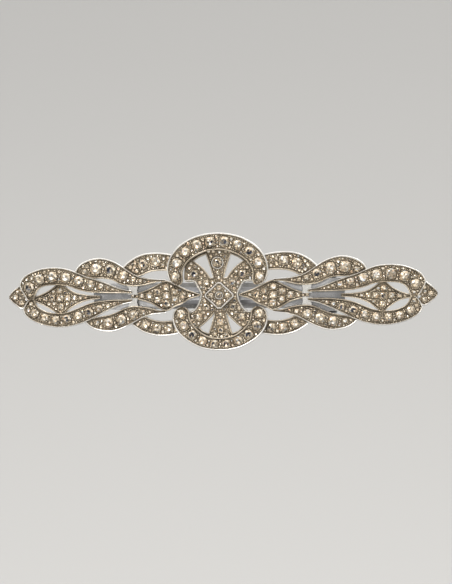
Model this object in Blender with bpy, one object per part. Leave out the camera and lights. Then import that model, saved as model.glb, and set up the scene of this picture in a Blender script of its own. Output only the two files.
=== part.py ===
"""Rhinestone hair clip: three pave-set castings riveted to a sprung barrette clip.

Everything is drawn in millimetres. The ornament is drawn flat in (u, v, h): u along
the length, v up, h the height in front of the castings' back face. It is then bent
along its length and placed, with +X along the length, +Z up and the front facing -Y.
The origin is the middle of the gap that holds the hair.
"""

import math

import bmesh
import bpy
from mathutils import Vector

MM = 0.001

# ---- the bend of the ornament and its place ---------------------------------
BEND_RADIUS = 280.0       # the ends curve back round the head
BACK_Y = -7.9             # y of the castings' back face at the middle

# ---- castings ---------------------------------------------------------------
RIM = 0.42                # width of a band's raised rim
FLOOR_DROP = 0.35         # how far the stone floor lies below the rims
H_C = 1.25                # inner leaves
H_KITE = 1.30             # kites and tip diamonds
H_B = 1.65                # middle leaves
H_LOW_LOOP = 1.85         # lower half of the end loop
H_UP_LOOP = 2.05          # upper half, which laps over the lower
H_PLATE = 1.50            # medallion's cross arms
H_CRESCENT = 2.50
H_LAP = 1.38              # underside of the crescents where they lap over the wings
H_DIAMOND = 2.20
U_FULL = 8.5              # the crescents are solid to the back out to this u

# ---- clip -------------------------------------------------------------------
PLATE_TOP_H = -0.10
PLATE_BACK_H = -0.80
HINGE_X, HINGE_Y = 27.0, -3.0
PIN_R = 0.70
PIN_BORE = 0.75
KNUCKLE_R = 1.50
EAR_IN, EAR_OUT = 3.35, 4.00
ARM_HALF = 3.20
ARM_T = 0.80
ARM_TOP_Y = 4.0           # middle of the arm's thickness at its crown
ARM_DROP = 7.0            # from the crown to the hinge line
ARM_FLAT = 4.0            # half-length of the crown's flat
BOW_HALF = 2.0
BOW_T = 0.45
BOW_NECK = 0.95
WINDOW_HALF = 1.90
PRONG_X0, PRONG_X1 = -29.2, -27.4
PRONG_IN, PRONG_OUT, BARB_OUT = 1.00, 1.50, 1.78
PRONG_FOOT_Y = -5.50

# ---- outlines of the right wing ----------------------------------------------
# Each band is a pair of edges drawn in the same direction.
UP_LOOP = (
    [(47.9, -0.7), (48.8, 0.9), (49.6, 2.3), (49.8, 3.2), (49.2, 4.4), (48.1, 5.4),
     (46.5, 6.2), (44.3, 6.9), (41.9, 7.2), (39.6, 7.15), (37.5, 6.8), (35.3, 6.0),
     (33.0, 5.05), (30.6, 4.3), (28.0, 3.4), (25.5, 2.4), (23.5, 1.75), (21.4, 1.35)],
    [(46.0, -0.7), (45.4, 1.0), (44.6, 2.05), (43.3, 2.65), (41.5, 2.85), (39.3, 2.85),
     (37.0, 2.5), (35.0, 1.75), (32.6, 1.15), (30.0, 0.9), (27.4, 0.8), (25.0, 0.75),
     (23.0, 0.75), (21.4, 0.70)],
)
LOW_LOOP = (
    [(47.3, -0.6), (48.1, -1.4), (48.8, -2.7), (48.9, -3.6), (48.2, -4.7),
     (46.8, -5.7), (45.0, -6.5), (42.8, -7.15), (40.4, -7.5), (38.0, -7.45),
     (35.7, -7.05), (33.7, -6.45), (31.8, -5.65), (29.8, -4.65), (27.7, -3.6),
     (25.7, -2.75), (23.7, -2.0), (21.4, -1.45)],
    [(45.9, -0.6), (45.4, -1.9), (44.5, -2.85), (42.9, -3.6), (41.0, -3.95),
     (39.0, -3.95), (37.0, -3.6), (35.3, -2.95), (33.2, -2.05), (31.0, -1.35),
     (28.5, -0.95), (25.7, -0.75), (23.3, -0.75), (21.4, -0.70)],
)
MID_UP = (
    [(35.7, 6.2), (35.0, 7.3), (33.9, 8.2), (32.4, 8.9), (30.8, 9.3), (29.2, 9.4),
     (27.3, 9.0), (25.5, 8.3), (23.8, 7.3), (22.2, 6.2), (20.4, 5.15), (18.6, 4.6),
     (16.6, 4.25), (14.9, 4.1), (13.2, 4.0)],
    [(33.2, 4.9), (31.4, 4.45), (29.6, 4.35), (27.9, 4.3), (26.2, 3.9), (24.6, 3.1),
     (23.0, 2.6), (21.3, 2.4), (19.6, 2.4), (18.0, 2.65), (16.4, 3.05), (14.8, 3.4),
     (13.2, 3.3)],
)
MID_LOW = (
    [(33.4, -6.1), (32.4, -7.1), (31.0, -7.9), (29.2, -8.4), (27.2, -8.6),
     (25.3, -8.35), (23.5, -7.7), (21.8, -6.9), (20.2, -6.0), (18.6, -5.2),
     (16.8, -4.65), (15.0, -4.25), (13.0, -4.05)],
    [(31.6, -5.4), (30.0, -5.0), (28.4, -4.7), (26.6, -4.3), (24.8, -3.6),
     (23.1, -2.8), (21.4, -2.4), (19.6, -2.4), (17.9, -2.65), (16.2, -3.05),
     (14.7, -3.5), (13.0, -3.3)],
)
IN_UP = (
    [(23.7, 7.2), (22.6, 8.2), (21.3, 9.1), (19.6, 9.95), (17.6, 10.45),
     (15.3, 10.55), (13.0, 10.35), (10.8, 9.9), (9.2, 9.5)],
    [(21.0, 5.0), (19.3, 4.85), (18.1, 5.4), (16.6, 5.9), (14.8, 6.1), (12.9, 6.1),
     (11.0, 6.1), (9.2, 6.1)],
)
IN_LOW = (
    [(22.0, -6.6), (20.7, -7.6), (19.3, -8.5), (17.6, -9.2), (15.6, -9.65),
     (13.5, -9.75), (11.3, -9.5), (9.2, -9.0)],
    [(19.6, -5.3), (18.2, -4.95), (16.8, -5.5), (15.2, -5.95), (13.6, -6.1),
     (12.0, -5.95), (10.4, -5.9), (9.2, -5.9)],
)
KITE = (
    [(21.6, 0.25), (20.2, 0.75), (18.3, 1.35), (16.4, 2.15), (14.6, 3.1),
     (13.2, 3.75), (11.8, 3.4), (10.0, 2.5), (8.1, 1.6), (6.3, 0.95), (4.75, 0.4)],
    [(21.6, -0.35), (20.2, -0.8), (18.5, -1.25), (16.9, -1.75), (15.4, -2.6),
     (14.0, -3.4), (12.7, -3.65), (11.0, -2.75), (9.2, -2.05), (7.6, -1.0),
     (6.0, -0.45), (4.75, -0.1)],
)
END_KITE = (
    [(46.4, -0.1), (45.2, 0.15), (43.4, 0.75), (41.8, 1.6), (40.6, 2.6), (39.6, 3.3),
     (38.3, 2.75), (37.0, 1.8), (35.3, 0.95), (32.7, 0.45), (29.4, 0.25)],
    [(46.4, -0.9), (44.9, -1.15), (43.2, -1.65), (41.6, -2.6), (40.3, -3.6),
     (39.2, -4.6), (38.1, -3.75), (36.5, -2.5), (34.6, -1.5), (32.4, -0.85),
     (29.4, -0.55)],
)
LEFT_END_KITE = (  # the left wing's is fuller, so its openings are smaller
    [(46.4, 0.0), (45.2, 0.40), (43.4, 1.10), (41.8, 2.0), (40.6, 2.85), (39.6, 3.35),
     (38.3, 2.75), (37.0, 1.8), (35.3, 0.95), (32.7, 0.45), (29.4, 0.25)],
    [(46.4, -1.0), (44.9, -1.60), (43.2, -2.35), (41.6, -3.25), (40.3, -4.1),
     (39.2, -4.7), (38.1, -3.90), (36.5, -2.65), (34.6, -1.65), (32.4, -0.95),
     (29.4, -0.55)],
)
TIP = (
    [(52.5, 0.35), (52.2, 0.95), (51.5, 1.65), (50.5, 2.45), (49.3, 3.1), (48.0, 1.9),
     (46.9, 0.6)],
    [(52.5, -0.35), (52.2, -0.9), (51.4, -1.6), (50.4, -2.35), (49.2, -3.0), (48.0, -2.0),
     (46.9, -0.8)],
)
# Short bars that tie the bands together, as closed outlines.
BAR_UP = [(20.0, 0.4), (22.4, 0.4), (22.1, 1.4), (22.3, 2.7), (19.9, 2.7),
          (20.2, 1.4)]
BAR_LOW = [(20.0, -0.5), (22.4, -0.5), (22.1, -1.4), (22.3, -2.7), (19.9, -2.7),
           (20.2, -1.4)]
TIE_UP = [(12.4, 3.2), (14.2, 3.2), (14.2, 4.05), (12.4, 4.05)]
TIE_LOW = [(12.2, -3.2), (13.9, -3.2), (13.9, -4.0), (12.2, -4.0)]

# ---- outlines of the medallion -----------------------------------------------
UP_CENTRE_U, LOW_CENTRE_U = -0.35, 0.20   # the crescents sit slightly off the axis
UP_OUT = [(9.45, 2.50), (10.4, 2.65), (11.4, 3.35), (12.1, 4.7), (12.35, 6.3),
          (12.05, 8.2), (11.2, 10.0), (9.8, 11.7), (7.9, 13.1), (5.6, 14.25),
          (2.9, 14.95), (0.0, 15.2)]
UP_IN = [(9.45, 2.50), (8.75, 2.85), (8.40, 3.6), (8.40, 4.5), (8.45, 5.5),
         (8.10, 6.7), (7.25, 8.0), (6.0, 9.1), (4.3, 10.05), (2.3, 10.75),
         (0.0, 11.0)]
LOW_OUT = [(9.05, -2.60), (10.1, -2.8), (11.0, -3.5), (11.5, -4.6), (11.55, -6.0),
           (11.0, -7.7), (10.0, -9.2), (8.5, -10.6), (6.6, -11.8), (4.3, -12.75),
           (2.0, -13.2), (0.0, -13.3)]
LOW_IN = [(9.05, -2.60), (8.1, -3.0), (7.45, -3.85), (7.35, -5.1), (6.95, -6.3),
          (6.2, -7.4), (5.1, -8.45), (3.5, -9.5), (1.7, -10.05), (0.0, -10.2)]
CROSS_EDGE = [  # right-hand edge of the cross plate, from the top down
    (0.0, 13.2), (3.2, 12.6), (6.0, 11.0), (7.8, 8.8), (8.45, 6.2), (8.3, 3.45),
    (6.2, 3.35), (5.3, 2.1), (4.65, 0.75), (4.65, -0.35), (5.0, -1.5), (5.8, -2.9),
    (6.7, -3.7), (7.8, -3.75), (8.2, -5.2), (7.6, -7.6), (6.0, -9.7), (3.4, -11.2),
    (0.0, -11.8),
]
HOLE_UP = [(1.3, 4.35), (2.0, 4.35), (2.75, 5.5), (3.65, 6.6), (4.8, 7.6),
           (5.95, 8.4), (4.7, 9.25), (3.05, 9.9), (2.35, 7.9)]
HOLE_LOW = [(1.35, -4.2), (2.1, -5.1), (3.05, -6.05), (4.1, -7.0), (5.05, -7.75),
            (4.3, -8.55), (2.9, -9.1), (2.4, -7.6)]
DIAMOND = [(3.5, 0.35), (3.5, -0.35), (0.45, -3.2), (-0.45, -3.2), (-3.5, -0.35),
           (-3.5, 0.35), (-0.45, 3.2), (0.45, 3.2)]

# ---- stones -------------------------------------------------------------------
STONE_SIDES = 8
SEAT_CLEAR = 0.05
CROSS_STONES = [  # name, u, v, radius
    ("cross_n", -0.4, 7.9, 1.12), ("cross_s", 0.2, -6.4, 0.85),
    ("cross_ne_inner", 3.2, 3.1, 0.80), ("cross_ne_outer", 5.6, 5.2, 1.05),
    ("cross_nw_inner", -3.2, 3.1, 0.75), ("cross_nw_outer", -6.1, 5.2, 1.05),
    ("cross_se_inner", 3.2, -2.7, 0.90), ("cross_se_outer", 5.4, -5.2, 0.95),
    ("cross_sw_inner", -3.2, -2.7, 0.90), ("cross_sw_outer", -5.0, -5.2, 0.95),
]
DIAMOND_STONES = [
    ("centre_middle", 0.0, 0.0, 0.60), ("centre_east", 2.0, 0.0, 0.65),
    ("centre_west", -2.0, 0.0, 0.65), ("centre_north", 0.0, 1.8, 0.65),
    ("centre_south", 0.0, -1.8, 0.65),
]
CRESCENT_UP_COUNT, CRESCENT_LOW_COUNT = 10, 10
WING_STONES = [  # name, u on the right wing, v, radius, floor height
    ("loop_upper", 41.3, 5.2, 1.30, H_UP_LOOP), ("loop_lower", 40.6, -5.95, 1.10,
                                                  H_LOW_LOOP),
    ("leaf_upper", 30.4, 6.85, 1.40, H_B), ("leaf_lower", 27.4, -6.5, 1.25, H_B),
]


# ==== helpers ==================================================================
def smooth(points, count):
    """Catmull-Rom curve through the points, as count points evenly along it."""
    pts = [Vector(p) for p in points]
    ext = [pts[0] * 2 - pts[1]] + pts + [pts[-1] * 2 - pts[-2]]
    dense = []
    for i in range(1, len(ext) - 2):
        a, b, c, d = ext[i - 1], ext[i], ext[i + 1], ext[i + 2]
        for k in range(12):
            t = k / 12
            dense.append(0.5 * (2 * b + (c - a) * t + (2 * a - 5 * b + 4 * c - d)
                                * t * t + (3 * b - a - 3 * c + d) * t ** 3))
    dense.append(pts[-1])
    return resample(dense, [i / (count - 1) for i in range(count)])


def resample(line, fractions):
    """Points at the given fractions of a polyline's length."""
    run = [0.0]
    for a, b in zip(line, line[1:]):
        run.append(run[-1] + (b - a).length)
    out = []
    for f in fractions:
        want = f * run[-1]
        i = max(j for j in range(len(run) - 1) if run[j] <= want + 1e-9)
        step = run[i + 1] - run[i]
        t = (want - run[i]) / step if step else 0.0
        out.append(line[i].lerp(line[i + 1], min(t, 1.0)))
    return out


def mesh_object(name, verts, faces):
    mesh = bpy.data.meshes.new(name)
    mesh.from_pydata([tuple(v) for v in verts], [], faces)
    bm = bmesh.new()
    bm.from_mesh(mesh)
    bmesh.ops.recalc_face_normals(bm, faces=bm.faces)
    bm.to_mesh(mesh)
    bm.free()
    obj = bpy.data.objects.new(name, mesh)
    bpy.context.scene.collection.objects.link(obj)
    return obj


def flat(u, v, h):
    return (u, -h, v)


def prism(name, outline, h0, h1):
    """Closed outline in (u, v), from height h0 to h1."""
    n = len(outline)
    verts = [flat(u, v, h0) for u, v in outline] + [flat(u, v, h1) for u, v in outline]
    faces = [list(range(n)), list(range(n, 2 * n))]
    faces += [[i, (i + 1) % n, n + (i + 1) % n, n + i] for i in range(n)]
    return mesh_object(name, verts, faces)


def band(name, edges, h0, h1, count=16, channel=True):
    """A band between two edges, with raised rims and a lower floor for stones."""
    p = smooth(edges[0], count)
    q = smooth(edges[1], count)
    p[1] = p[0].lerp(p[1], 0.35)
    q[1] = q[0].lerp(q[1], 0.35)
    p[-2] = p[-1].lerp(p[-2], 0.35)
    q[-2] = q[-1].lerp(q[-2], 0.35)
    rings = []
    for i, (a, b) in enumerate(zip(p, q)):
        width = max((b - a).length, 1e-3)
        if width < 0.12:                       # keep a tip from closing to a line
            side = Vector((0.0, 0.06)) if width < 2e-3 else (b - a) / width * 0.06
            mid = (a + b) / 2
            a, b = mid - side, mid + side
            width = 0.12
        f = min(RIM / width, 0.30)
        end = i in (0, count - 1)
        drop = 0.02 if end or not channel else FLOOR_DROP * min(1.0, width / 1.3)
        c, d = a.lerp(b, f), a.lerp(b, 1 - f)
        if channel:
            rings.append([flat(*a, h0), flat(*a, h1), flat(*c, h1),
                          flat(*c, h1 - drop), flat(*d, h1 - drop), flat(*d, h1),
                          flat(*b, h1), flat(*b, h0)])
        else:
            rings.append([flat(*a, h0), flat(*a, h1), flat(*b, h1), flat(*b, h0)])
    m = len(rings[0])
    verts = [v for ring in rings for v in ring]
    faces = [list(range(m)), [m * (count - 1) + i for i in range(m)]]
    for r in range(count - 1):
        for i in range(m):
            j = (i + 1) % m
            faces.append([r * m + i, r * m + j, (r + 1) * m + j, (r + 1) * m + i])
    return mesh_object(name, verts, faces)


def drum(name, u, v, r, h0, h1, sides=STONE_SIDES, turn=0.3):
    ring = [(u + r * math.cos(turn + 2 * math.pi * i / sides),
             v + r * math.sin(turn + 2 * math.pi * i / sides)) for i in range(sides)]
    return prism(name, ring, h0, h1)


def combine(name, base, others, operation):
    """Boolean of base with each other solid, left as one plain mesh."""
    for other in others:
        other.hide_render = True
        other.display_type = "WIRE"
        mod = base.modifiers.new(operation, "BOOLEAN")
        mod.operation = operation
        mod.solver = "EXACT"
        mod.object = other
    bpy.context.view_layer.update()
    depsgraph = bpy.context.evaluated_depsgraph_get()
    mesh = bpy.data.meshes.new_from_object(base.evaluated_get(depsgraph))
    base.modifiers.clear()
    base.data = mesh
    base.name = name
    for other in others:
        bpy.data.objects.remove(other)
    return base


def tidy(obj, angle=0.6):
    """Merge stray points and flat neighbours."""
    bm = bmesh.new()
    bm.from_mesh(obj.data)
    bmesh.ops.remove_doubles(bm, verts=bm.verts, dist=0.004)
    bmesh.ops.dissolve_degenerate(bm, edges=bm.edges, dist=0.004)
    bmesh.ops.dissolve_limit(bm, angle_limit=math.radians(angle), verts=bm.verts,
                             edges=bm.edges)
    bmesh.ops.triangulate(bm, faces=bm.faces, quad_method="BEAUTY",
                          ngon_method="BEAUTY")
    bmesh.ops.recalc_face_normals(bm, faces=bm.faces)
    bm.to_mesh(obj.data)
    bm.free()


def curve_y(x):
    return BACK_Y + x * x / (2 * BEND_RADIUS)


def place(obj, bend, pivot=(0.0, 0.0, 0.0)):
    """Bend if asked, then write millimetres as metres about the object's pivot."""
    for vert in obj.data.vertices:
        co = vert.co
        if bend:
            co.y += curve_y(co.x)
        vert.co = (co - Vector(pivot)) * MM
    obj.location = Vector(pivot) * MM
    obj.data.update()


def material(name, colour, metallic, roughness, transmission=0.0):
    mat = bpy.data.materials.new(name)
    mat.use_nodes = True
    shader = mat.node_tree.nodes["Principled BSDF"]
    shader.inputs["Base Color"].default_value = (*colour, 1.0)
    shader.inputs["Metallic"].default_value = metallic
    shader.inputs["Roughness"].default_value = roughness
    shader.inputs["Transmission Weight"].default_value = transmission
    mat.diffuse_color = (*colour, 1.0)
    return mat


def wear(obj, mat):
    """Material, and smooth shading of all but the real edges."""
    obj.data.materials.clear()
    obj.data.materials.append(mat)
    obj.data.shade_smooth()
    obj.data.set_sharp_from_angle(angle=math.radians(30))


def mirrored(points, sign):
    return [(sign * u, v) for u, v in points]


# ==== scene ====================================================================
for old in list(bpy.data.objects):
    bpy.data.objects.remove(old)

PLATED = material("plated_casting", (0.76, 0.74, 0.71), 1.0, 0.20)
STEEL = material("clip_steel", (0.66, 0.66, 0.67), 1.0, 0.28)
SPRING = material("spring_steel", (0.58, 0.58, 0.60), 1.0, 0.32)
STONE = material("foiled_stone", (0.86, 0.84, 0.80), 0.0, 0.03, 0.6)


# ---- stones and their seats -----------------------------------------------------
stone_list = []           # name, u, v, radius, height of the floor it sits in
for label, u, v, r in CROSS_STONES:
    stone_list.append(("stone_" + label, u, v, r, H_PLATE))
for label, u, v, r in DIAMOND_STONES:
    stone_list.append(("stone_" + label, u, v, r, H_DIAMOND))


def crescent_edges(outer, inner, centre):
    """Full edges from the right tip to the left tip."""
    out = [(centre + u, v) for u, v in outer]
    out += [(centre - u, v) for u, v in reversed(outer[:-1])]
    inn = [(centre + u, v) for u, v in inner]
    inn += [(centre - u, v) for u, v in reversed(inner[:-1])]
    return out, inn


def row_of_stones(prefix, edges, count, floor, largest):
    """Stones evenly along a band, each as large as its floor there allows."""
    p = smooth(edges[0], 121)
    q = smooth(edges[1], 121)
    middle = [(a + b) / 2 for a, b in zip(p, q)]
    span = (0.065, 0.935)
    at = [span[0] + (span[1] - span[0]) * i / (count - 1) for i in range(count)]
    for i, point in enumerate(resample(middle, at)):
        room = min(min((point - e).length for e in edge) for edge in (p, q))
        radius = min(largest, room - RIM - 0.12)
        stone_list.append(("%s_%02d" % (prefix, i + 1), point.x, point.y, radius,
                           floor))


UP_EDGES = crescent_edges(UP_OUT, UP_IN, UP_CENTRE_U)
LOW_EDGES = crescent_edges(LOW_OUT, LOW_IN, LOW_CENTRE_U)
row_of_stones("stone_crescent_upper", UP_EDGES, CRESCENT_UP_COUNT,
              H_CRESCENT - FLOOR_DROP, 1.27)
row_of_stones("stone_crescent_lower", LOW_EDGES, CRESCENT_LOW_COUNT,
              H_CRESCENT - FLOOR_DROP, 1.18)
for side, sign in (("right", 1), ("left", -1)):
    for label, u, v, r, top in WING_STONES:
        stone_list.append(("stone_%s_%s" % (side, label), sign * u, v, r,
                           top - FLOOR_DROP))


def seat_cutters(prefixes):
    cutters = []
    for name, u, v, r, floor in stone_list:
        if name.startswith(prefixes):
            cutters.append(drum("seat_" + name, u, v, r + SEAT_CLEAR, floor - 0.35,
                                floor + 0.06))
    return cutters


# ---- centre medallion -------------------------------------------------------------
cross = CROSS_EDGE + [(-u, v) for u, v in reversed(CROSS_EDGE[1:-1])]
medallion = prism("centre_medallion", cross, 0.0, H_PLATE)
holes = []
for sign in (1, -1):
    holes.append(prism("hole_up", [(sign * u + 0.5 * UP_CENTRE_U, v)
                                   for u, v in HOLE_UP], -1.0, 3.0))
    holes.append(prism("hole_low", [(sign * u + LOW_CENTRE_U, v)
                                    for u, v in HOLE_LOW], -1.0, 3.0))
medallion = combine("centre_medallion", medallion, holes, "DIFFERENCE")


def skirt(name, edges):
    """The crescent's solid underside, only as far out as the wings allow."""
    p, q = smooth(edges[0], 61), smooth(edges[1], 61)
    keep = [i for i in range(61) if max(abs(p[i].x), abs(q[i].x)) < U_FULL]
    inner_edge = [tuple(q[i]) for i in keep[::4]]
    outer_edge = [tuple(p[i]) for i in keep[::4]]
    return prism(name, outer_edge + inner_edge[::-1], 0.12, H_LAP + 0.35)


medallion = combine("centre_medallion", medallion, [
    band("crescent_up", UP_EDGES, H_LAP, H_CRESCENT, 35),
    band("crescent_low", LOW_EDGES, H_LAP, H_CRESCENT, 33),
    skirt("skirt_up", UP_EDGES),
    skirt("skirt_low", LOW_EDGES),
    prism("diamond", DIAMOND, 0.2, H_DIAMOND),
], "UNION")
medallion = combine("centre_medallion", medallion,
                    seat_cutters(("stone_cross", "stone_centre", "stone_crescent"))
                    + [drum("rivet_seat", 0.0, 0.0, 1.05, -1.0, 0.65, 12)],
                    "DIFFERENCE")
tidy(medallion)
place(medallion, True)
wear(medallion, PLATED)


# ---- wings ------------------------------------------------------------------------
def wing(name, sign):
    def m(edges):
        return mirrored(edges[0], sign), mirrored(edges[1], sign)

    body = band(name, m(KITE), 0.0, H_KITE, 19)
    body = combine(name, body, [
        band("in_up", m(IN_UP), 0.14, H_C, 13),
        band("in_low", m(IN_LOW), 0.14, H_C, 13),
        prism("tie_up", mirrored(TIE_UP, sign), 0.22, H_C - 0.3),
        prism("tie_low", mirrored(TIE_LOW, sign), 0.22, H_C - 0.3),
        band("mid_up", m(MID_UP), 0.08, H_B, 21),
        band("mid_low", m(MID_LOW), 0.08, H_B, 19),
        prism("bar_up", mirrored(BAR_UP, sign), 0.18, 1.42),
        prism("bar_low", mirrored(BAR_LOW, sign), 0.18, 1.42),
        band("end_kite", m(END_KITE if sign > 0 else LEFT_END_KITE), 0.16, H_KITE + 0.03, 19),
        band("tip", m(TIP), 0.24, H_KITE + 0.06, 11),
        band("low_loop", m(LOW_LOOP), 0.04, H_LOW_LOOP, 27),
        band("up_loop", m(UP_LOOP), 0.02, H_UP_LOOP, 27),
    ], "UNION")
    side = "stone_right_" if sign > 0 else "stone_left_"
    body = combine(name, body, seat_cutters((side,))
                   + [drum("rivet_seat", sign * 13.0, 0.0, 1.05, -1.0, 0.65, 12)],
                   "DIFFERENCE")
    tidy(body)
    place(body, True)
    wear(body, PLATED)
    return body


wing("left_wing", -1)
wing("right_wing", 1)


# ---- stones -----------------------------------------------------------------------
def chaton(name, u, v, r, floor):
    """Faceted stone: small back face, wide girdle, flat table."""
    levels = [(0.62 * r, floor - 0.31), (r, floor + 0.10), (0.60 * r,
                                                          floor + 0.12 + 0.38 * r)]
    verts = []
    for k, (radius, h) in enumerate(levels):
        turn = 0.3 + (math.pi / STONE_SIDES if k == 2 else 0.0)
        for i in range(STONE_SIDES):
            a = turn + 2 * math.pi * i / STONE_SIDES
            verts.append(flat(u + radius * math.cos(a), v + radius * math.sin(a), h))
    n = STONE_SIDES
    faces = [list(range(n)), list(range(2 * n, 3 * n))]
    for i in range(n):
        j = (i + 1) % n
        faces.append([i, j, n + j, n + i])
        faces.append([n + i, n + j, 2 * n + i])
        faces.append([n + j, 2 * n + j, 2 * n + i])
    obj = mesh_object(name, verts, faces)
    place(obj, True)
    wear(obj, STONE)


for entry in stone_list:
    chaton(*entry)


# ---- clip: base plate ---------------------------------------------------------------
PLATE_EDGE = [(-31.0, 2.2), (-30.4, 3.0), (-26.0, 3.2), (-20.0, 3.2), (-14.5, 3.0),
              (-11.5, 2.6), (-9.6, 1.3), (-6.0, 1.1), (-3.2, 1.3), (-1.6, 1.9),
              (1.6, 1.9), (3.2, 1.3), (6.0, 1.1), (9.6, 1.3), (11.5, 2.6),
              (14.5, 3.0), (18.0, 3.2), (21.5, 3.2), (24.3, 4.0), (29.3, 4.0),
              (30.2, 3.0)]


def ear(name, z0, z1):
    """Upright hinge ear in the x-y plane, from the plate to round the pin."""
    foot_h = PLATE_TOP_H - 0.35
    foot_y = curve_y(HINGE_X) - foot_h
    outline = [(HINGE_X - 2.4, foot_y), (HINGE_X + 2.0, foot_y)]
    for i in range(9):
        a = math.radians(-10 + 200 * i / 8)
        outline.append((HINGE_X + 1.45 * math.cos(a), HINGE_Y + 1.45 * math.sin(a)))
    return upright(name, outline, z0, z1)


def upright(name, outline, z0, z1):
    """Closed outline in (x, y), from z0 to z1, already in the part's place."""
    n = len(outline)
    verts = [(x, y, z0) for x, y in outline] + [(x, y, z1) for x, y in outline]
    faces = [list(range(n)), list(range(n, 2 * n))]
    faces += [[i, (i + 1) % n, n + (i + 1) % n, n + i] for i in range(n)]
    return mesh_object(name, verts, faces)


def rod(name, x, y, r, z0, z1, sides=24):
    ring = [(x + r * math.cos(2 * math.pi * i / sides),
             y + r * math.sin(2 * math.pi * i / sides)) for i in range(sides)]
    return upright(name, ring, z0, z1)


def strip(name, path, thick, halves):
    """A bent strip: path in (x, y), half-widths along it, even thickness."""
    pts = [Vector(p) for p in path]
    rings = []
    for i, p in enumerate(pts):
        t = (pts[min(i + 1, len(pts) - 1)] - pts[max(i - 1, 0)]).normalized()
        nrm = Vector((-t.y, t.x)) * thick / 2
        w = halves[i]
        a, b = p + nrm, p - nrm
        rings += [(a.x, a.y, -w), (a.x, a.y, w), (b.x, b.y, w), (b.x, b.y, -w)]
    n = len(pts)
    faces = [[0, 1, 2, 3], [4 * n - 4, 4 * n - 3, 4 * n - 2, 4 * n - 1]]
    for r in range(n - 1):
        for i in range(4):
            j = (i + 1) % 4
            faces.append([4 * r + i, 4 * r + j, 4 * r + 4 + j, 4 * r + 4 + i])
    return mesh_object(name, rings, faces)


half = []
for a, b in zip(PLATE_EDGE, PLATE_EDGE[1:]):
    steps = max(1, int(abs(b[0] - a[0]) / 2.6))
    half += [(a[0] + (b[0] - a[0]) * k / steps, a[1] + (b[1] - a[1]) * k / steps)
             for k in range(steps)]
half.append(PLATE_EDGE[-1])
rings = []
for x, w in half:                       # four-cornered sections along the plate
    rings += [flat(x, -w, PLATE_BACK_H), flat(x, w, PLATE_BACK_H),
              flat(x, w, PLATE_TOP_H), flat(x, -w, PLATE_TOP_H)]
n = len(half)
faces = [[0, 1, 2, 3], [4 * n - 4, 4 * n - 3, 4 * n - 2, 4 * n - 1]]
for r in range(n - 1):
    for i in range(4):
        j = (i + 1) % 4
        faces.append([4 * r + i, 4 * r + j, 4 * r + 4 + j, 4 * r + 4 + i])
plate = mesh_object("clip_base_plate", rings, faces)
for vert in plate.data.vertices:
    vert.co.y += curve_y(vert.co.x)
plate = combine("clip_base_plate", plate, [ear("ear_top", EAR_IN, EAR_OUT),
                                           ear("ear_bottom", -EAR_OUT, -EAR_IN)],
                "UNION")
cuts = [rod("ear_bore", HINGE_X, HINGE_Y, PIN_BORE, -6.0, 6.0)]
for u in (-13.0, 0.0, 13.0):
    hole = drum("rivet_hole", u, 0.0, 0.75, -3.0, 1.0, 16)
    for vert in hole.data.vertices:
        vert.co.y += curve_y(u)
    cuts.append(hole)
plate = combine("clip_base_plate", plate, cuts, "DIFFERENCE")
tidy(plate, 0.3)
place(plate, False)
wear(plate, STEEL)


# ---- clip: mounting rivets ------------------------------------------------------------
def mount_rivet(name, u):
    """Flush in its casting's back, through the plate, domed on the hair side."""
    levels = [(0.98, 0.60), (0.98, 0.02), (0.68, 0.02), (0.68, -0.87), (1.25, -0.87),
              (1.15, -1.12), (0.75, -1.30)]
    sides = 16
    verts = []
    for r, h in levels:
        for i in range(sides):
            a = 2 * math.pi * i / sides + 0.3
            verts.append(flat(u + r * math.cos(a), r * math.sin(a), h))
    faces = [list(range(sides)), list(range(sides * (len(levels) - 1),
                                            sides * len(levels)))]
    for k in range(len(levels) - 1):
        for i in range(sides):
            j = (i + 1) % sides
            faces.append([k * sides + i, k * sides + j, (k + 1) * sides + j,
                          (k + 1) * sides + i])
    obj = mesh_object(name, verts, faces)
    for vert in obj.data.vertices:
        vert.co.y += curve_y(u)
    place(obj, False)
    wear(obj, STEEL)


for label, u in (("left", -13.0), ("centre", 0.0), ("right", 13.0)):
    mount_rivet("mount_rivet_" + label, u)


# ---- clip: hinge rivet ------------------------------------------------------------------
pin = rod("hinge_rivet", HINGE_X, HINGE_Y, PIN_R, -4.3, 4.3)
heads = [rod("head_top", HINGE_X, HINGE_Y, 1.2, EAR_OUT + 0.08, 4.55),
         rod("head_bottom", HINGE_X, HINGE_Y, 1.2, -4.55, -EAR_OUT - 0.08)]
pin = combine("hinge_rivet", pin, heads, "UNION")
tidy(pin, 0.3)
place(pin, False, (HINGE_X, HINGE_Y, 0.0))
wear(pin, STEEL)


# ---- clip: arm ----------------------------------------------------------------------------
def arm_y(x):
    x = abs(x)
    if x <= ARM_FLAT:
        return ARM_TOP_Y
    reach = HINGE_X - ARM_FLAT
    if x <= HINGE_X:
        return ARM_TOP_Y - ARM_DROP * ((x - ARM_FLAT) / reach) ** 2
    return ARM_TOP_Y - ARM_DROP - 0.20 * (x - HINGE_X)


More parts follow.
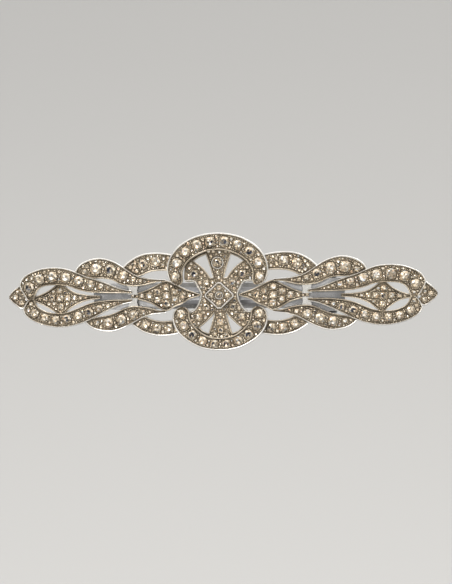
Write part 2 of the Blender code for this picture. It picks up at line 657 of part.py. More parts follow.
stations = [-31.5, -30.4, -29.0, -27.6, -26.3]
stations += [-25.0 + 1.3 * k for k in range(39)]
stations += [25.7, HINGE_X]
path = [(x, arm_y(x)) for x in stations]
widths = [2.3, 3.0] + [ARM_HALF] * (len(stations) - 2)
arm = strip("clip_arm", path, ARM_T, widths)
knuckle = rod("arm_knuckle", HINGE_X, HINGE_Y, KNUCKLE_R, -ARM_HALF, ARM_HALF)
arm = combine("clip_arm", arm, [knuckle], "UNION")
slot = [(HINGE_X - 2.6, -9.0), (HINGE_X + 4.0, -9.0), (HINGE_X + 4.0, 2.5),
        (HINGE_X - 2.6, 2.5)]
arm = combine("clip_arm", arm, [
    rod("arm_bore", HINGE_X, HINGE_Y, PIN_BORE, -6.0, 6.0),
    upright("arm_slot", slot, -BOW_NECK - 0.25, BOW_NECK + 0.25),
    upright("arm_window", [(-30.1, -8.0), (-26.8, -8.0), (-26.8, 0.0), (-30.1, 0.0)],
            -WINDOW_HALF, WINDOW_HALF),
], "DIFFERENCE")
tidy(arm, 0.3)
place(arm, False, (HINGE_X, HINGE_Y, 0.0))
wear(arm, STEEL)


# ---- clip: tension bow ------------------------------------------------------------------------
bow_path = smooth([(HINGE_X - 1.0, HINGE_Y + 0.05), (24.0, -3.05), (20.0, -2.95),
                   (14.0, -2.80), (7.0, -2.75), (0.0, -2.95), (-7.0, -3.40),
                   (-13.0, -4.05), (-19.0, -4.85), (-24.0, -5.45)], 36)
bow_halves = []
for p in bow_path:
    t = min(max((p.x - 22.3) / 1.6, 0.0), 1.0)
    bow_halves.append(BOW_HALF + (BOW_NECK - BOW_HALF) * t)
bow_halves[-1] = 1.3
bow = strip("tension_bow", [tuple(p) for p in bow_path], BOW_T, bow_halves)
bow = combine("tension_bow", bow, [rod("bow_knuckle", HINGE_X, HINGE_Y, 1.25,
                                       -BOW_NECK, BOW_NECK)], "UNION")
bow = combine("tension_bow", bow, [rod("bow_bore", HINGE_X, HINGE_Y, PIN_BORE, -6.0,
                                       6.0)], "DIFFERENCE")
tidy(bow, 0.3)
place(bow, False, (HINGE_X, HINGE_Y, 0.0))
wear(bow, SPRING)


# ---- clip: catch prongs ----------------------------------------------------------------------
def prong(name, side):
    """Springy upright of the catch, with a barb that looks over the arm."""
    section = [(PRONG_IN, PRONG_FOOT_Y), (PRONG_OUT, PRONG_FOOT_Y),
               (PRONG_OUT, -2.62), (BARB_OUT, -2.50), (BARB_OUT, -2.15),
               (PRONG_OUT - 0.1, -1.55), (PRONG_IN, -1.45)]
    verts = [(PRONG_X0, y, side * z) for z, y in section]
    verts += [(PRONG_X1, y, side * z) for z, y in section]
    n = len(section)
    faces = [list(range(n)), list(range(n, 2 * n))]
    faces += [[i, (i + 1) % n, n + (i + 1) % n, n + i] for i in range(n)]
    obj = mesh_object(name, verts, faces)
    place(obj, False, (0.5 * (PRONG_X0 + PRONG_X1), PRONG_FOOT_Y,
                       side * 0.5 * (PRONG_IN + PRONG_OUT)))
    wear(obj, SPRING)


prong("catch_prong_upper", 1)
prong("catch_prong_lower", -1)
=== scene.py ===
"""Looks of the rhinestone hair clip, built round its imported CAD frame.

Millimetres are used for drawing and become metres in the helpers. The ornament is drawn
flat in (u, v, h), as in the CAD: u along the length, v up, h the height in front of the
castings' back face, and then bent along its length.
"""

import math
import random

import bmesh
import bpy
import numpy as np
from mathutils import Matrix, Vector


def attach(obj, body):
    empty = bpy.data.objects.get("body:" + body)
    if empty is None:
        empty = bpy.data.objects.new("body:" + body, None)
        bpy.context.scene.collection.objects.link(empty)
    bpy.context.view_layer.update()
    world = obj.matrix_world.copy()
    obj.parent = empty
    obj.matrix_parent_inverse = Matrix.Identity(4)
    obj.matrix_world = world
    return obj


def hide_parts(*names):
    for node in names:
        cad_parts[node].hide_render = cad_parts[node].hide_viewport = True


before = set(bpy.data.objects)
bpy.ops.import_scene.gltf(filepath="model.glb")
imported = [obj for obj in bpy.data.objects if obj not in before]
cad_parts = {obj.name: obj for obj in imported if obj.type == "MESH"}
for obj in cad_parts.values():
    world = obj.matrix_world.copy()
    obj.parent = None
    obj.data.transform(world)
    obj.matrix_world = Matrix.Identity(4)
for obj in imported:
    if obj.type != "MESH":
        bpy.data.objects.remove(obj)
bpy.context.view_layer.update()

MM = 0.001
BEND_RADIUS = 280.0  # of the whole ornament, along its length
BACK_Y = -7.9        # back face of the castings in the middle of the length

# ---- heights in front of the castings' back face ----
H_IN, H_KITE, H_END_KITE, H_TIP = 1.25, 1.30, 1.33, 1.36
H_MID, H_LOW_LOOP, H_UP_LOOP = 1.65, 1.85, 2.05
H_PLATE, H_CRESCENT, H_LAP, H_DIAMOND = 1.50, 2.50, 1.38, 2.20
FLOOR_DROP = 0.35    # of a band's floor below its rims
PLATE_DROP = 0.26    # of the cross's floor below its rims
DIAMOND_DROP = 0.25  # of the diamond's floor below its rim
H_BAR = 1.42         # top of the bars across the kite's outer end
H_JUNCTION = 1.30    # floor of the small stone between them

# ---- widths ----
RIM = 0.42           # of the rim that a band's stones keep clear of
PAVED_EDGE = 0.44    # of the rim that the small stones and beads keep clear of
U_FULL = 8.5         # the crescents reach down to the back as far out as this

# ---- outlines of the right wing, each band a pair of edges ----
UP_LOOP = (
    [(47.9, -0.7), (48.8, 0.9), (49.6, 2.3), (49.8, 3.2), (49.2, 4.4), (48.1, 5.4),
     (46.5, 6.2), (44.3, 6.9), (41.9, 7.2), (39.6, 7.15), (37.5, 6.8), (35.3, 6.0),
     (33.0, 5.05), (30.6, 4.3), (28.0, 3.4), (25.5, 2.4), (23.5, 1.75), (21.4, 1.35)],
    [(46.0, -0.7), (45.4, 1.0), (44.6, 2.05), (43.3, 2.65), (41.5, 2.85), (39.3, 2.85),
     (37.0, 2.5), (35.0, 1.75), (32.6, 1.15), (30.0, 0.9), (27.4, 0.8), (25.0, 0.75),
     (23.0, 0.75), (21.4, 0.70)],
)
LOW_LOOP = (
    [(47.3, -0.6), (48.1, -1.4), (48.8, -2.7), (48.9, -3.6), (48.2, -4.7),
     (46.8, -5.7), (45.0, -6.5), (42.8, -7.15), (40.4, -7.5), (38.0, -7.45),
     (35.7, -7.05), (33.7, -6.45), (31.8, -5.65), (29.8, -4.65), (27.7, -3.6),
     (25.7, -2.75), (23.7, -2.0), (21.4, -1.45)],
    [(45.9, -0.6), (45.4, -1.9), (44.5, -2.85), (42.9, -3.6), (41.0, -3.95),
     (39.0, -3.95), (37.0, -3.6), (35.3, -2.95), (33.2, -2.05), (31.0, -1.35),
     (28.5, -0.95), (25.7, -0.75), (23.3, -0.75), (21.4, -0.70)],
)
MID_UP = (
    [(35.7, 6.2), (35.0, 7.3), (33.9, 8.2), (32.4, 8.9), (30.8, 9.3), (29.2, 9.4),
     (27.3, 9.0), (25.5, 8.3), (23.8, 7.3), (22.2, 6.2), (20.4, 5.15), (18.6, 4.6),
     (16.6, 4.25), (14.9, 4.1), (13.2, 4.0)],
    [(33.2, 4.9), (31.4, 4.45), (29.6, 4.35), (27.9, 4.3), (26.2, 3.9), (24.6, 3.1),
     (23.0, 2.6), (21.3, 2.4), (19.6, 2.4), (18.0, 2.65), (16.4, 3.05), (14.8, 3.4),
     (13.2, 3.3)],
)
MID_LOW = (
    [(33.4, -6.1), (32.4, -7.1), (31.0, -7.9), (29.2, -8.4), (27.2, -8.6),
     (25.3, -8.35), (23.5, -7.7), (21.8, -6.9), (20.2, -6.0), (18.6, -5.2),
     (16.8, -4.65), (15.0, -4.25), (13.0, -4.05)],
    [(31.6, -5.4), (30.0, -5.0), (28.4, -4.7), (26.6, -4.3), (24.8, -3.6),
     (23.1, -2.8), (21.4, -2.4), (19.6, -2.4), (17.9, -2.65), (16.2, -3.05),
     (14.7, -3.5), (13.0, -3.3)],
)
IN_UP = (
    [(23.7, 7.2), (22.6, 8.2), (21.3, 9.1), (19.6, 9.95), (17.6, 10.45),
     (15.3, 10.55), (13.0, 10.35), (10.8, 9.9), (9.2, 9.5)],
    [(21.0, 5.0), (19.3, 4.85), (18.1, 5.4), (16.6, 5.9), (14.8, 6.1), (12.9, 6.1),
     (11.0, 6.1), (9.2, 6.1)],
)
IN_LOW = (
    [(22.0, -6.6), (20.7, -7.6), (19.3, -8.5), (17.6, -9.2), (15.6, -9.65),
     (13.5, -9.75), (11.3, -9.5), (9.2, -9.0)],
    [(19.6, -5.3), (18.2, -4.95), (16.8, -5.5), (15.2, -5.95), (13.6, -6.1),
     (12.0, -5.95), (10.4, -5.9), (9.2, -5.9)],
)
KITE = (
    [(21.6, 0.25), (20.2, 0.75), (18.3, 1.35), (16.4, 2.15), (14.6, 3.1),
     (13.2, 3.75), (11.8, 3.4), (10.0, 2.5), (8.1, 1.6), (6.3, 0.95), (4.75, 0.4)],
    [(21.6, -0.35), (20.2, -0.8), (18.5, -1.25), (16.9, -1.75), (15.4, -2.6),
     (14.0, -3.4), (12.7, -3.65), (11.0, -2.75), (9.2, -2.05), (7.6, -1.0),
     (6.0, -0.45), (4.75, -0.1)],
)
END_KITE = (
    [(46.4, -0.1), (45.2, 0.15), (43.4, 0.75), (41.8, 1.6), (40.6, 2.6), (39.6, 3.3),
     (38.3, 2.75), (37.0, 1.8), (35.3, 0.95), (32.7, 0.45), (29.4, 0.25)],
    [(46.4, -0.9), (44.9, -1.15), (43.2, -1.65), (41.6, -2.6), (40.3, -3.6),
     (39.2, -4.6), (38.1, -3.75), (36.5, -2.5), (34.6, -1.5), (32.4, -0.85),
     (29.4, -0.55)],
)
LEFT_END_KITE = (  # the left wing's is fuller, so its openings are smaller
    [(46.4, 0.0), (45.2, 0.40), (43.4, 1.10), (41.8, 2.0), (40.6, 2.85), (39.6, 3.35),
     (38.3, 2.75), (37.0, 1.8), (35.3, 0.95), (32.7, 0.45), (29.4, 0.25)],
    [(46.4, -1.0), (44.9, -1.60), (43.2, -2.35), (41.6, -3.25), (40.3, -4.1),
     (39.2, -4.7), (38.1, -3.90), (36.5, -2.65), (34.6, -1.65), (32.4, -0.95),
     (29.4, -0.55)],
)
TIP = (
    [(52.5, 0.35), (52.2, 0.95), (51.5, 1.65), (50.5, 2.45), (49.3, 3.1), (48.0, 1.9),
     (46.9, 0.6)],
    [(52.5, -0.35), (52.2, -0.9), (51.4, -1.6), (50.4, -2.35), (49.2, -3.0), (48.0, -2.0),
     (46.9, -0.8)],
)
BAR_UP = [(20.0, 0.4), (22.4, 0.4), (22.1, 1.4), (22.3, 2.7), (19.9, 2.7),
          (20.2, 1.4)]
BAR_LOW = [(20.0, -0.5), (22.4, -0.5), (22.1, -1.4), (22.3, -2.7), (19.9, -2.7),
           (20.2, -1.4)]

# ---- outlines of the medallion ----
UP_CENTRE_U, LOW_CENTRE_U = -0.35, 0.20
UP_OUT = [(9.45, 2.50), (10.4, 2.65), (11.4, 3.35), (12.1, 4.7), (12.35, 6.3),
          (12.05, 8.2), (11.2, 10.0), (9.8, 11.7), (7.9, 13.1), (5.6, 14.25),
          (2.9, 14.95), (0.0, 15.2)]
UP_IN = [(9.45, 2.50), (8.75, 2.85), (8.40, 3.6), (8.40, 4.5), (8.45, 5.5),
         (8.10, 6.7), (7.25, 8.0), (6.0, 9.1), (4.3, 10.05), (2.3, 10.75),
         (0.0, 11.0)]
LOW_OUT = [(9.05, -2.60), (10.1, -2.8), (11.0, -3.5), (11.5, -4.6), (11.55, -6.0),
           (11.0, -7.7), (10.0, -9.2), (8.5, -10.6), (6.6, -11.8), (4.3, -12.75),
           (2.0, -13.2), (0.0, -13.3)]
LOW_IN = [(9.05, -2.60), (8.1, -3.0), (7.45, -3.85), (7.35, -5.1), (6.95, -6.3),
          (6.2, -7.4), (5.1, -8.45), (3.5, -9.5), (1.7, -10.05), (0.0, -10.2)]
CROSS_EDGE = [
    (0.0, 13.2), (3.2, 12.6), (6.0, 11.0), (7.8, 8.8), (8.45, 6.2), (8.3, 3.45),
    (6.2, 3.35), (5.3, 2.1), (4.65, 0.75), (4.65, -0.35), (5.0, -1.5), (5.8, -2.9),
    (6.7, -3.7), (7.8, -3.75), (8.2, -5.2), (7.6, -7.6), (6.0, -9.7), (3.4, -11.2),
    (0.0, -11.8),
]
CROSS_SIDE = CROSS_EDGE[5:14]
HOLE_UP = [(1.3, 4.35), (2.0, 4.35), (2.75, 5.5), (3.65, 6.6), (4.8, 7.6),
           (5.95, 8.4), (4.7, 9.25), (3.05, 9.9), (2.35, 7.9)]
HOLE_LOW = [(1.35, -4.2), (2.1, -5.1), (3.05, -6.05), (4.1, -7.0), (5.05, -7.75),
            (4.3, -8.55), (2.9, -9.1), (2.4, -7.6)]
DIAMOND = [(3.5, 0.35), (3.5, -0.35), (0.45, -3.2), (-0.45, -3.2), (-3.5, -0.35),
           (-3.5, 0.35), (-0.45, 3.2), (0.45, 3.2)]

# ---- stones ----
CRESCENT_COUNT = 10      # stones on each crescent
UP_LARGEST, LOW_LARGEST = 1.27, 1.18  # radii of their largest stones
# A stone's mood is the painted reflection on its table, from 0, dark, to 1, bright; a
# flashing stone shows a bright painted reflection.
DARK, CHAMPAGNE, PALE, FLASHING = 0.14, 0.56, 0.60, 0.86
FLASHING_SHARE = 0.26
WING_DARK_SHARE, MEDALLION_DARK_SHARE = 0.15, 0.30
SEEDS = {"left": 29, "right": 17, "medallion": 5}

# ---- stones listed one by one: u, v, radius, and the mood where it is given ----
CROSS_STONES = [
    (-0.4, 7.9, 1.12, DARK), (0.2, -6.4, 0.85, PALE), (3.2, 3.1, 0.80, DARK),
    (5.6, 5.2, 1.05, DARK), (-3.2, 3.1, 0.75, PALE), (-6.1, 5.2, 1.05, DARK),
    (3.2, -2.7, 0.90, DARK), (5.4, -5.2, 0.95, PALE), (-3.2, -2.7, 0.90, DARK),
    (-5.0, -5.2, 0.95, PALE),
]
CROSS_SMALL_STONES = [
    (-0.35, 5.45, 0.50), (0.25, -4.6, 0.5), (0.2, -8.4, 0.75), (1.5, -9.3, 0.45),
    (-1.1, -9.3, 0.45), (4.1, 4.3, 0.42), (-4.4, 4.3, 0.42), (7.0, 5.0, 0.38),
    (-7.4, 5.0, 0.38), (4.0, -4.1, 0.40), (-3.8, -4.1, 0.40), (6.9, -5.0, 0.36),
    (-6.6, -5.0, 0.36),
]
DIAMOND_STONES = [
    (0.0, 0.0, 0.60, DARK), (2.0, 0.0, 0.65, PALE), (-2.0, 0.0, 0.65, PALE),
    (0.0, 1.8, 0.65, PALE), (0.0, -1.8, 0.65, PALE),
]
KITE_STONES = [
    (13.1, 2.0, 0.88), (13.0, 0.05, 0.98), (12.9, -1.85, 0.88), (15.2, 0.95, 0.86),
    (15.1, -0.95, 0.82), (10.9, 1.05, 0.84), (10.9, -0.8, 0.80), (17.15, 0.05, 0.88),
    (19.0, 0.05, 0.62), (8.95, 0.1, 0.82), (7.35, 0.15, 0.52), (20.25, 0.0, 0.35),
]
END_KITE_STONES = [
    (39.6, 1.55, 0.78), (39.5, -0.35, 0.92), (39.3, -2.35, 0.80), (41.5, -0.3, 0.82),
    (43.3, -0.45, 0.62), (37.6, -0.25, 0.80), (35.8, -0.2, 0.66), (34.3, -0.25, 0.50),
    (44.7, -0.5, 0.40), (33.1, -0.2, 0.36),
]
TIP_STONES = [(50.9, 0.0, 0.72), (49.5, 1.35, 0.62), (49.4, -1.4, 0.62),
              (51.9, 0.0, 0.22)]
JUNCTION_STONES = [(21.2, 0.0, 0.36)]

# ==== drawing helpers ====
def smooth(points, count, closed=False):
    """Catmull-Rom curve through the points, as count points evenly along it."""
    pts = [Vector(p) for p in points]
    if closed:
        ext = [pts[-1]] + pts + [pts[0], pts[1]]
    else:
        ext = [pts[0] * 2 - pts[1]] + pts + [pts[-1] * 2 - pts[-2]]
    dense = []
    for i in range(1, len(ext) - 2):
        a, b, c, d = ext[i - 1], ext[i], ext[i + 1], ext[i + 2]
        for k in range(12):
            t = k / 12
            dense.append(0.5 * (2 * b + (c - a) * t + (2 * a - 5 * b + 4 * c - d)
                                * t * t + (3 * b - a - 3 * c + d) * t ** 3))
    dense.append(pts[0].copy() if closed else pts[-1])
    return resample(dense, [i / (count - 1) for i in range(count)])


def line_length(line):
    return sum((b - a).length for a, b in zip(line, line[1:]))


def resample(line, fractions):
    """Points at the given rising fractions of a polyline's length."""
    run = [0.0]
    for a, b in zip(line, line[1:]):
        run.append(run[-1] + (b - a).length)
    out = []
    i = 0
    for f in fractions:
        want = f * run[-1]
        while i < len(run) - 2 and run[i + 1] < want:
            i += 1
        step = run[i + 1] - run[i]
        t = (want - run[i]) / step if step else 0.0
        out.append(line[i].lerp(line[i + 1], min(max(t, 0.0), 1.0)))
    return out


def inside(point, polygon):
    x, y = point
    hit = False
    for (x0, y0), (x1, y1) in zip(polygon, polygon[1:] + polygon[:1]):
        if (y0 > y) != (y1 > y) and x < (x1 - x0) * (y - y0) / (y1 - y0) + x0:
            hit = not hit
    return hit


def bent(u, v, h):
    """A drawn point as its place in the clip, in metres."""
    return Vector((u, BACK_Y - h + u * u / (2 * BEND_RADIUS), v)) * MM


def mirrored(points, sign):
    return [(sign * u, v) for u, v in points]


def new_object(name, data):
    obj = bpy.data.objects.new(name, data)
    bpy.context.scene.collection.objects.link(obj)
    return obj


class Sketch:
    """Collects vertices and faces, then makes one object of them."""

    def __init__(self):
        self.verts, self.faces, self.slots, self.tones, self.leans = [], [], [], [], []

    def add(self, verts, faces, slots=0, tones=0.0, leans=None):
        """Slots, tones and leans are one value for all the faces, or a list."""
        base, count = len(self.verts), len(faces)
        self.verts += verts
        self.faces += [[base + i for i in face] for face in faces]
        self.slots += slots if isinstance(slots, list) else [slots] * count
        self.tones += tones if isinstance(tones, list) else [tones] * count
        self.leans += leans if leans else [(0.0, 0.0, 0.0)] * count

    def build(self, name, materials, sharp_deg=40.0):
        mesh = bpy.data.meshes.new(name)
        mesh.from_pydata(self.verts, [], self.faces)
        for material in materials:
            mesh.materials.append(material)
        mesh.polygons.foreach_set("material_index", self.slots)
        tone = mesh.attributes.new("tone", "FLOAT", "FACE")
        tone.data.foreach_set("value", self.tones)
        if any(any(lean) for lean in self.leans):
            lean = mesh.attributes.new("lean", "FLOAT_VECTOR", "FACE")
            lean.data.foreach_set("vector", [c for each in self.leans for c in each])
        bm = bmesh.new()
        bm.from_mesh(mesh)
        bmesh.ops.recalc_face_normals(bm, faces=bm.faces)
        bm.to_mesh(mesh)
        bm.free()
        mesh.shade_smooth()
        mesh.set_sharp_from_angle(angle=math.radians(sharp_deg))
        return new_object(name, mesh)


def loft(sketch, rings, slots, cap=True):
    """Joins equal rings of points into a skin, with a material slot for each side."""
    m = len(rings[0])
    faces, kinds = [], []
    for r in range(len(rings) - 1):
        for i in range(m):
            j = (i + 1) % m
            faces.append([r * m + i, r * m + j, (r + 1) * m + j, (r + 1) * m + i])
            kinds.append(slots[i])
    if cap:
        last = (len(rings) - 1) * m
        faces += [list(range(m))[::-1], [last + i for i in range(m)]]
        kinds += [0, 0]
    sketch.add([p for ring in rings for p in ring], faces, kinds)


# ==== materials ====
def node_material(name):
    mat = bpy.data.materials.new(name)
    mat.use_nodes = True
    tree = mat.node_tree
    return mat, tree, tree.nodes["Principled BSDF"]


def link(tree, a, out, b, inp):
    tree.links.new(a.outputs[out], b.inputs[inp])


def ramp(tree, stops):
    node = tree.nodes.new("ShaderNodeValToRGB")
    elements = node.color_ramp.elements
    while len(elements) < len(stops):
        elements.new(0.5)
    for element, (at, colour) in zip(elements, stops):
        element.position = at
        element.color = (*colour, 1.0)
    return node


def noise(tree, coords, scale, detail, rough):
    node = tree.nodes.new("ShaderNodeTexNoise")
    node.inputs["Scale"].default_value = scale
    node.inputs["Detail"].default_value = detail
    node.inputs["Roughness"].default_value = rough
    link(tree, coords, "Object", node, "Vector")
    return node


def map_range(tree, low, high):
    node = tree.nodes.new("ShaderNodeMapRange")
    node.inputs["To Min"].default_value = low
    node.inputs["To Max"].default_value = high
    return node


def multiply(tree, first, second, shader):
    """The product of two colours, as the shader's base colour."""
    mix = tree.nodes.new("ShaderNodeMix")
    mix.data_type = "RGBA"
    mix.blend_type = "MULTIPLY"
    mix.inputs["Factor"].default_value = 1.0
    tree.links.new(first.outputs["Color"], mix.inputs[6])
    tree.links.new(second.outputs["Color"], mix.inputs[7])
    tree.links.new(mix.outputs[2], shader.inputs["Base Color"])


PAINTED_SHADE_REACH = 0.6        # how far from a corner the painted shade reaches, in millimetres
SURFACE_RELIEF = 0.03    # depth of the fine surface, in millimetres
CLOUD_SCALE, POLISH_SCALE, GRAIN_SCALE = 260.0, 900.0, 2400.0
PAINTED_REFLECTION_SCALE = 2600.0      # patches of painted reflection and coloured glints, per metre
BRUSHED = (160.0, 160.0, 9000.0)


def metal(name, bright, dark, rough, bump, painted_shade_deep, stretch=None):
    """Plated metal: colour clouds, uneven polish, fine surface, painted shade in corners.

    The bright and dark colours and the two roughnesses are the ends of a range. Painted
    shade, found by ambient occlusion, multiplies the colour in the deepest corners. Stretch
    draws the surface out in lines.
    """
    mat, tree, shader = node_material(name)
    coords = tree.nodes.new("ShaderNodeTexCoord")
    shader.inputs["Metallic"].default_value = 1.0
    cloud = noise(tree, coords, CLOUD_SCALE, 4.0, 0.6)
    colours = ramp(tree, [(0.30, dark), (0.62, bright)])
    link(tree, cloud, "Fac", colours, "Fac")
    # painted shade: ambient occlusion darkens the colour in the corners
    hollow = tree.nodes.new("ShaderNodeAmbientOcclusion")
    hollow.inputs["Distance"].default_value = PAINTED_SHADE_REACH * MM
    hollow.samples = 6
    shade = ramp(tree, [(0.30, (painted_shade_deep,) * 3), (0.85, (1.0, 1.0, 1.0))])
    link(tree, hollow, "AO", shade, "Fac")
    multiply(tree, colours, shade, shader)
    polish = noise(tree, coords, POLISH_SCALE, 3.0, 0.65)
    spread = map_range(tree, rough[0], rough[1])
    link(tree, polish, "Fac", spread, "Value")
    link(tree, spread, "Result", shader, "Roughness")
    grain = tree.nodes.new("ShaderNodeTexNoise")
    grain.inputs["Scale"].default_value = GRAIN_SCALE if stretch is None else 1.0
    grain.inputs["Detail"].default_value = 2.0
    if stretch is None:
        link(tree, coords, "Object", grain, "Vector")
    else:
        mapping = tree.nodes.new("ShaderNodeMapping")
        mapping.inputs["Scale"].default_value = stretch
        link(tree, coords, "Object", mapping, "Vector")
        link(tree, mapping, "Vector", grain, "Vector")
    relief = tree.nodes.new("ShaderNodeBump")
    relief.inputs["Strength"].default_value = bump
    relief.inputs["Distance"].default_value = SURFACE_RELIEF * MM
    link(tree, grain, "Fac", relief, "Height")
    link(tree, relief, "Normal", shader, "Normal")
    return mat


def foiled_stone(name):
    """Clear glass over foil. Each facet shows one patch of foil, and its colour is a
    painted
    reflection: its own tone, with painted flicker and painted coloured glints, and its
    own lean of the foil behind it, which decides what it mirrors."""
    mat, tree, shader = node_material(name)
    shader.inputs["Metallic"].default_value = 0.85
    shader.inputs["Roughness"].default_value = 0.16
    shader.inputs["Coat Weight"].default_value = 0.35
    shader.inputs["Coat Roughness"].default_value = 0.03
    shader.inputs["Coat IOR"].default_value = 1.55
    coords = tree.nodes.new("ShaderNodeTexCoord")
    tone = tree.nodes.new("ShaderNodeAttribute")
    tone.attribute_name = "tone"
    # small cells of painted reflection: a flicker of light and dark, and pink and blue
    # painted glints
    cells = tree.nodes.new("ShaderNodeTexVoronoi")
    cells.inputs["Scale"].default_value = PAINTED_REFLECTION_SCALE
    link(tree, coords, "Object", cells, "Vector")
    split = tree.nodes.new("ShaderNodeSeparateColor")
    link(tree, cells, "Color", split, "Color")
    flicker = map_range(tree, -0.16, 0.16)
    link(tree, split, "Red", flicker, "Value")
    add = tree.nodes.new("ShaderNodeMath")
    add.operation = "ADD"
    link(tree, flicker, "Result", add, 0)
    link(tree, tone, "Fac", add, 1)
    # painted reflections, from dark blue-grey through champagne to bright
    colours = ramp(tree, [
        (0.00, (0.020, 0.024, 0.036)), (0.18, (0.085, 0.090, 0.105)),
        (0.36, (0.395, 0.33, 0.245)), (0.58, (0.69, 0.58, 0.43)),
        (0.78, (0.775, 0.69, 0.56)), (1.00, (0.875, 0.845, 0.79))])
    link(tree, add, "Value", colours, "Fac")
    tints = ramp(tree, [(0.0, (1.0, 0.80, 0.72)), (0.12, (1.0, 0.97, 0.93)),
                        (0.80, (1.0, 1.0, 1.0)), (0.95, (0.74, 0.84, 1.0))])
    link(tree, split, "Green", tints, "Fac")
    multiply(tree, colours, tints, shader)
    lean = tree.nodes.new("ShaderNodeAttribute")
    lean.attribute_name = "lean"
    geometry = tree.nodes.new("ShaderNodeNewGeometry")
    tilted = tree.nodes.new("ShaderNodeVectorMath")
    tilted.operation = "ADD"
    link(tree, geometry, "Normal", tilted, 0)
    link(tree, lean, "Vector", tilted, 1)
    unit = tree.nodes.new("ShaderNodeVectorMath")
    unit.operation = "NORMALIZE"
    link(tree, tilted, "Vector", unit, 0)
    link(tree, unit, "Vector", shader, "Normal")
    return mat


POLISHED = metal("rhodium_polished", (0.97, 0.955, 0.92), (0.84, 0.815, 0.77),
                 (0.18, 0.36), 0.25, painted_shade_deep=0.45)
GRAIN = metal("rhodium_grains", (0.89, 0.785, 0.62), (0.55, 0.46, 0.345), (0.18, 0.34),
              0.25, painted_shade_deep=0.12)
CAST_FLOOR = metal("rhodium_cast_floor", (0.41, 0.335, 0.24), (0.092, 0.075, 0.055),
                   (0.25, 0.45), 0.6, painted_shade_deep=0.20)
INNER_RIM = metal("rhodium_inner_rims", (0.76, 0.69, 0.59), (0.455, 0.405, 0.335),
                  (0.20, 0.38), 0.4, painted_shade_deep=0.35)
CAST_BACK = metal("rhodium_cast_back", (0.56, 0.545, 0.51), (0.34, 0.325, 0.30),
                  (0.34, 0.55), 1.0, painted_shade_deep=0.35)
CASTING_MATERIALS = [POLISHED, CAST_FLOOR, CAST_BACK, INNER_RIM]
PLAIN, FLOOR, BACK, GRAINED = 0, 1, 2, 3  # their places in that list
STEEL = metal("clip_nickel", (0.46, 0.46, 0.465), (0.34, 0.34, 0.345), (0.16, 0.34), 0.35,
              painted_shade_deep=0.35, stretch=BRUSHED)
SPRING = metal("spring_nickel", (0.44, 0.44, 0.46), (0.34, 0.34, 0.36), (0.20, 0.40),
               0.35, painted_shade_deep=0.35, stretch=BRUSHED)
STONE = foiled_stone("foiled_stone")


# ==== castings ====
def band_profile(width, h0, h1):
    """Half of a band's section, from its back edge to the floor: (inward, h)."""
    k = min(1.0, width / 1.6)
    drop = FLOOR_DROP * min(1.0, width / 1.3)
    return [(0.05 * k, h0), (0.0, h0 + 0.08), (0.0, h1 - 0.20), (0.03 * k, h1 - 0.08),
            (0.12 * k, h1), (0.25 * k, h1), (0.36 * k, h1 - 0.08 * k),
            (0.40 * k, h1 - 0.55 * drop), (0.46 * k, h1 - drop)]


BAND_STEP = 0.45     # between a band's sections
BAND_NARROWEST = 0.14


def band_body(sketch, edges, h0, h1, finish):
    """A band with a raised rim on each edge; finish gives the two rims' metal."""
    count = max(12, int(line_length(smooth(edges[0], 60)) / BAND_STEP))
    p, q = smooth(edges[0], count), smooth(edges[1], count)
    rings = []
    for a, b in zip(p, q):
        width = (b - a).length
        if width < BAND_NARROWEST:
            way = (b - a) / width if width > 1e-3 else Vector((0.0, -1.0))
            side = way * (BAND_NARROWEST / 2)
            mid = (a + b) / 2
            a, b = mid - side, mid + side
            width = BAND_NARROWEST
        direction = (b - a) / width
        half = band_profile(width, h0, h1)
        ring = [bent(*(a + direction * x), h) for x, h in half]
        ring += [bent(*(b - direction * x), h) for x, h in reversed(half)]
        rings.append(ring)
    near = [PLAIN] * 2 + [finish[0]] * 4 + [FLOOR] * 2
    far = [FLOOR] * 2 + [finish[1]] * 4 + [PLAIN] * 2
    loft(sketch, rings, near + [FLOOR] + far + [BACK])
    return p, q


def dress_edges(works, edges, h0, h1, finish, hidden):
    """The band itself, and milgrain on its grained rims or beside its plain ones."""
    p, q = band_body(works.body, edges, h0, h1, finish)
    for line, other, kind in ((p, q, finish[0]), (q, p, finish[1])):
        if kind == GRAINED:
            milgrain(works.beads, line, other, h1 - 0.03, hidden, 0.40, 0.155, 0.20, 0.6)
        else:
            milgrain(works.beads, line, other, h1 - 0.15, hidden, 0.34, 0.12, 0.41, 1.3)


FRONT = Vector((0.0, -1.0, 0.0))


def dome(sketch, centre, r, sides=6, rise=1.0):
    """A small bead: three rings and a top, standing on the metal and facing forward."""
    axis = FRONT
    side = axis.orthogonal().normalized()
    other = axis.cross(side)
    verts, faces = [], []
    for ring_r, up in ((1.0, -0.35), (0.92, 0.35), (0.55, 0.82)):
        for i in range(sides):
            angle = 2 * math.pi * i / sides
            verts.append(centre + (side * math.cos(angle) + other * math.sin(angle))
                         * r * ring_r + axis * r * up * rise)
    verts.append(centre + axis * r * rise)
    for level in range(2):
        for i in range(sides):
            j = (i + 1) % sides
            faces.append([level * sides + i, level * sides + j,
                          (level + 1) * sides + j, (level + 1) * sides + i])
    for i in range(sides):
        faces.append([2 * sides + i, 2 * sides + (i + 1) % sides, 3 * sides])
    sketch.add(verts, faces)


def milgrain(sketch, line, toward, h, hidden, pitch, r, inset, narrowest):
    """A row of tiny beads beside a rim, left out where a higher band lies over it."""
    length = line_length(line)
    count = max(2, int(length / pitch))
    at = [(i + 0.5) / count for i in range(count)]
    edge, other = resample(line, at), resample(toward, at)
    for a, b in zip(edge, other):
        width = (b - a).length
        if width < narrowest:
            continue
        point = a + (b - a) / width * inset
        if any(inside(point, shape) for shape in hidden):
            continue
        dome(sketch, bent(point.x, point.y, h), r * MM)


def ring_of(u, v, r, h, count, turn):
    """Points round a circle, as places in the clip."""
    step = 2 * math.pi / count
    return [bent(u + r * math.cos(turn + i * step), v + r * math.sin(turn + i * step), h)
            for i in range(count)]


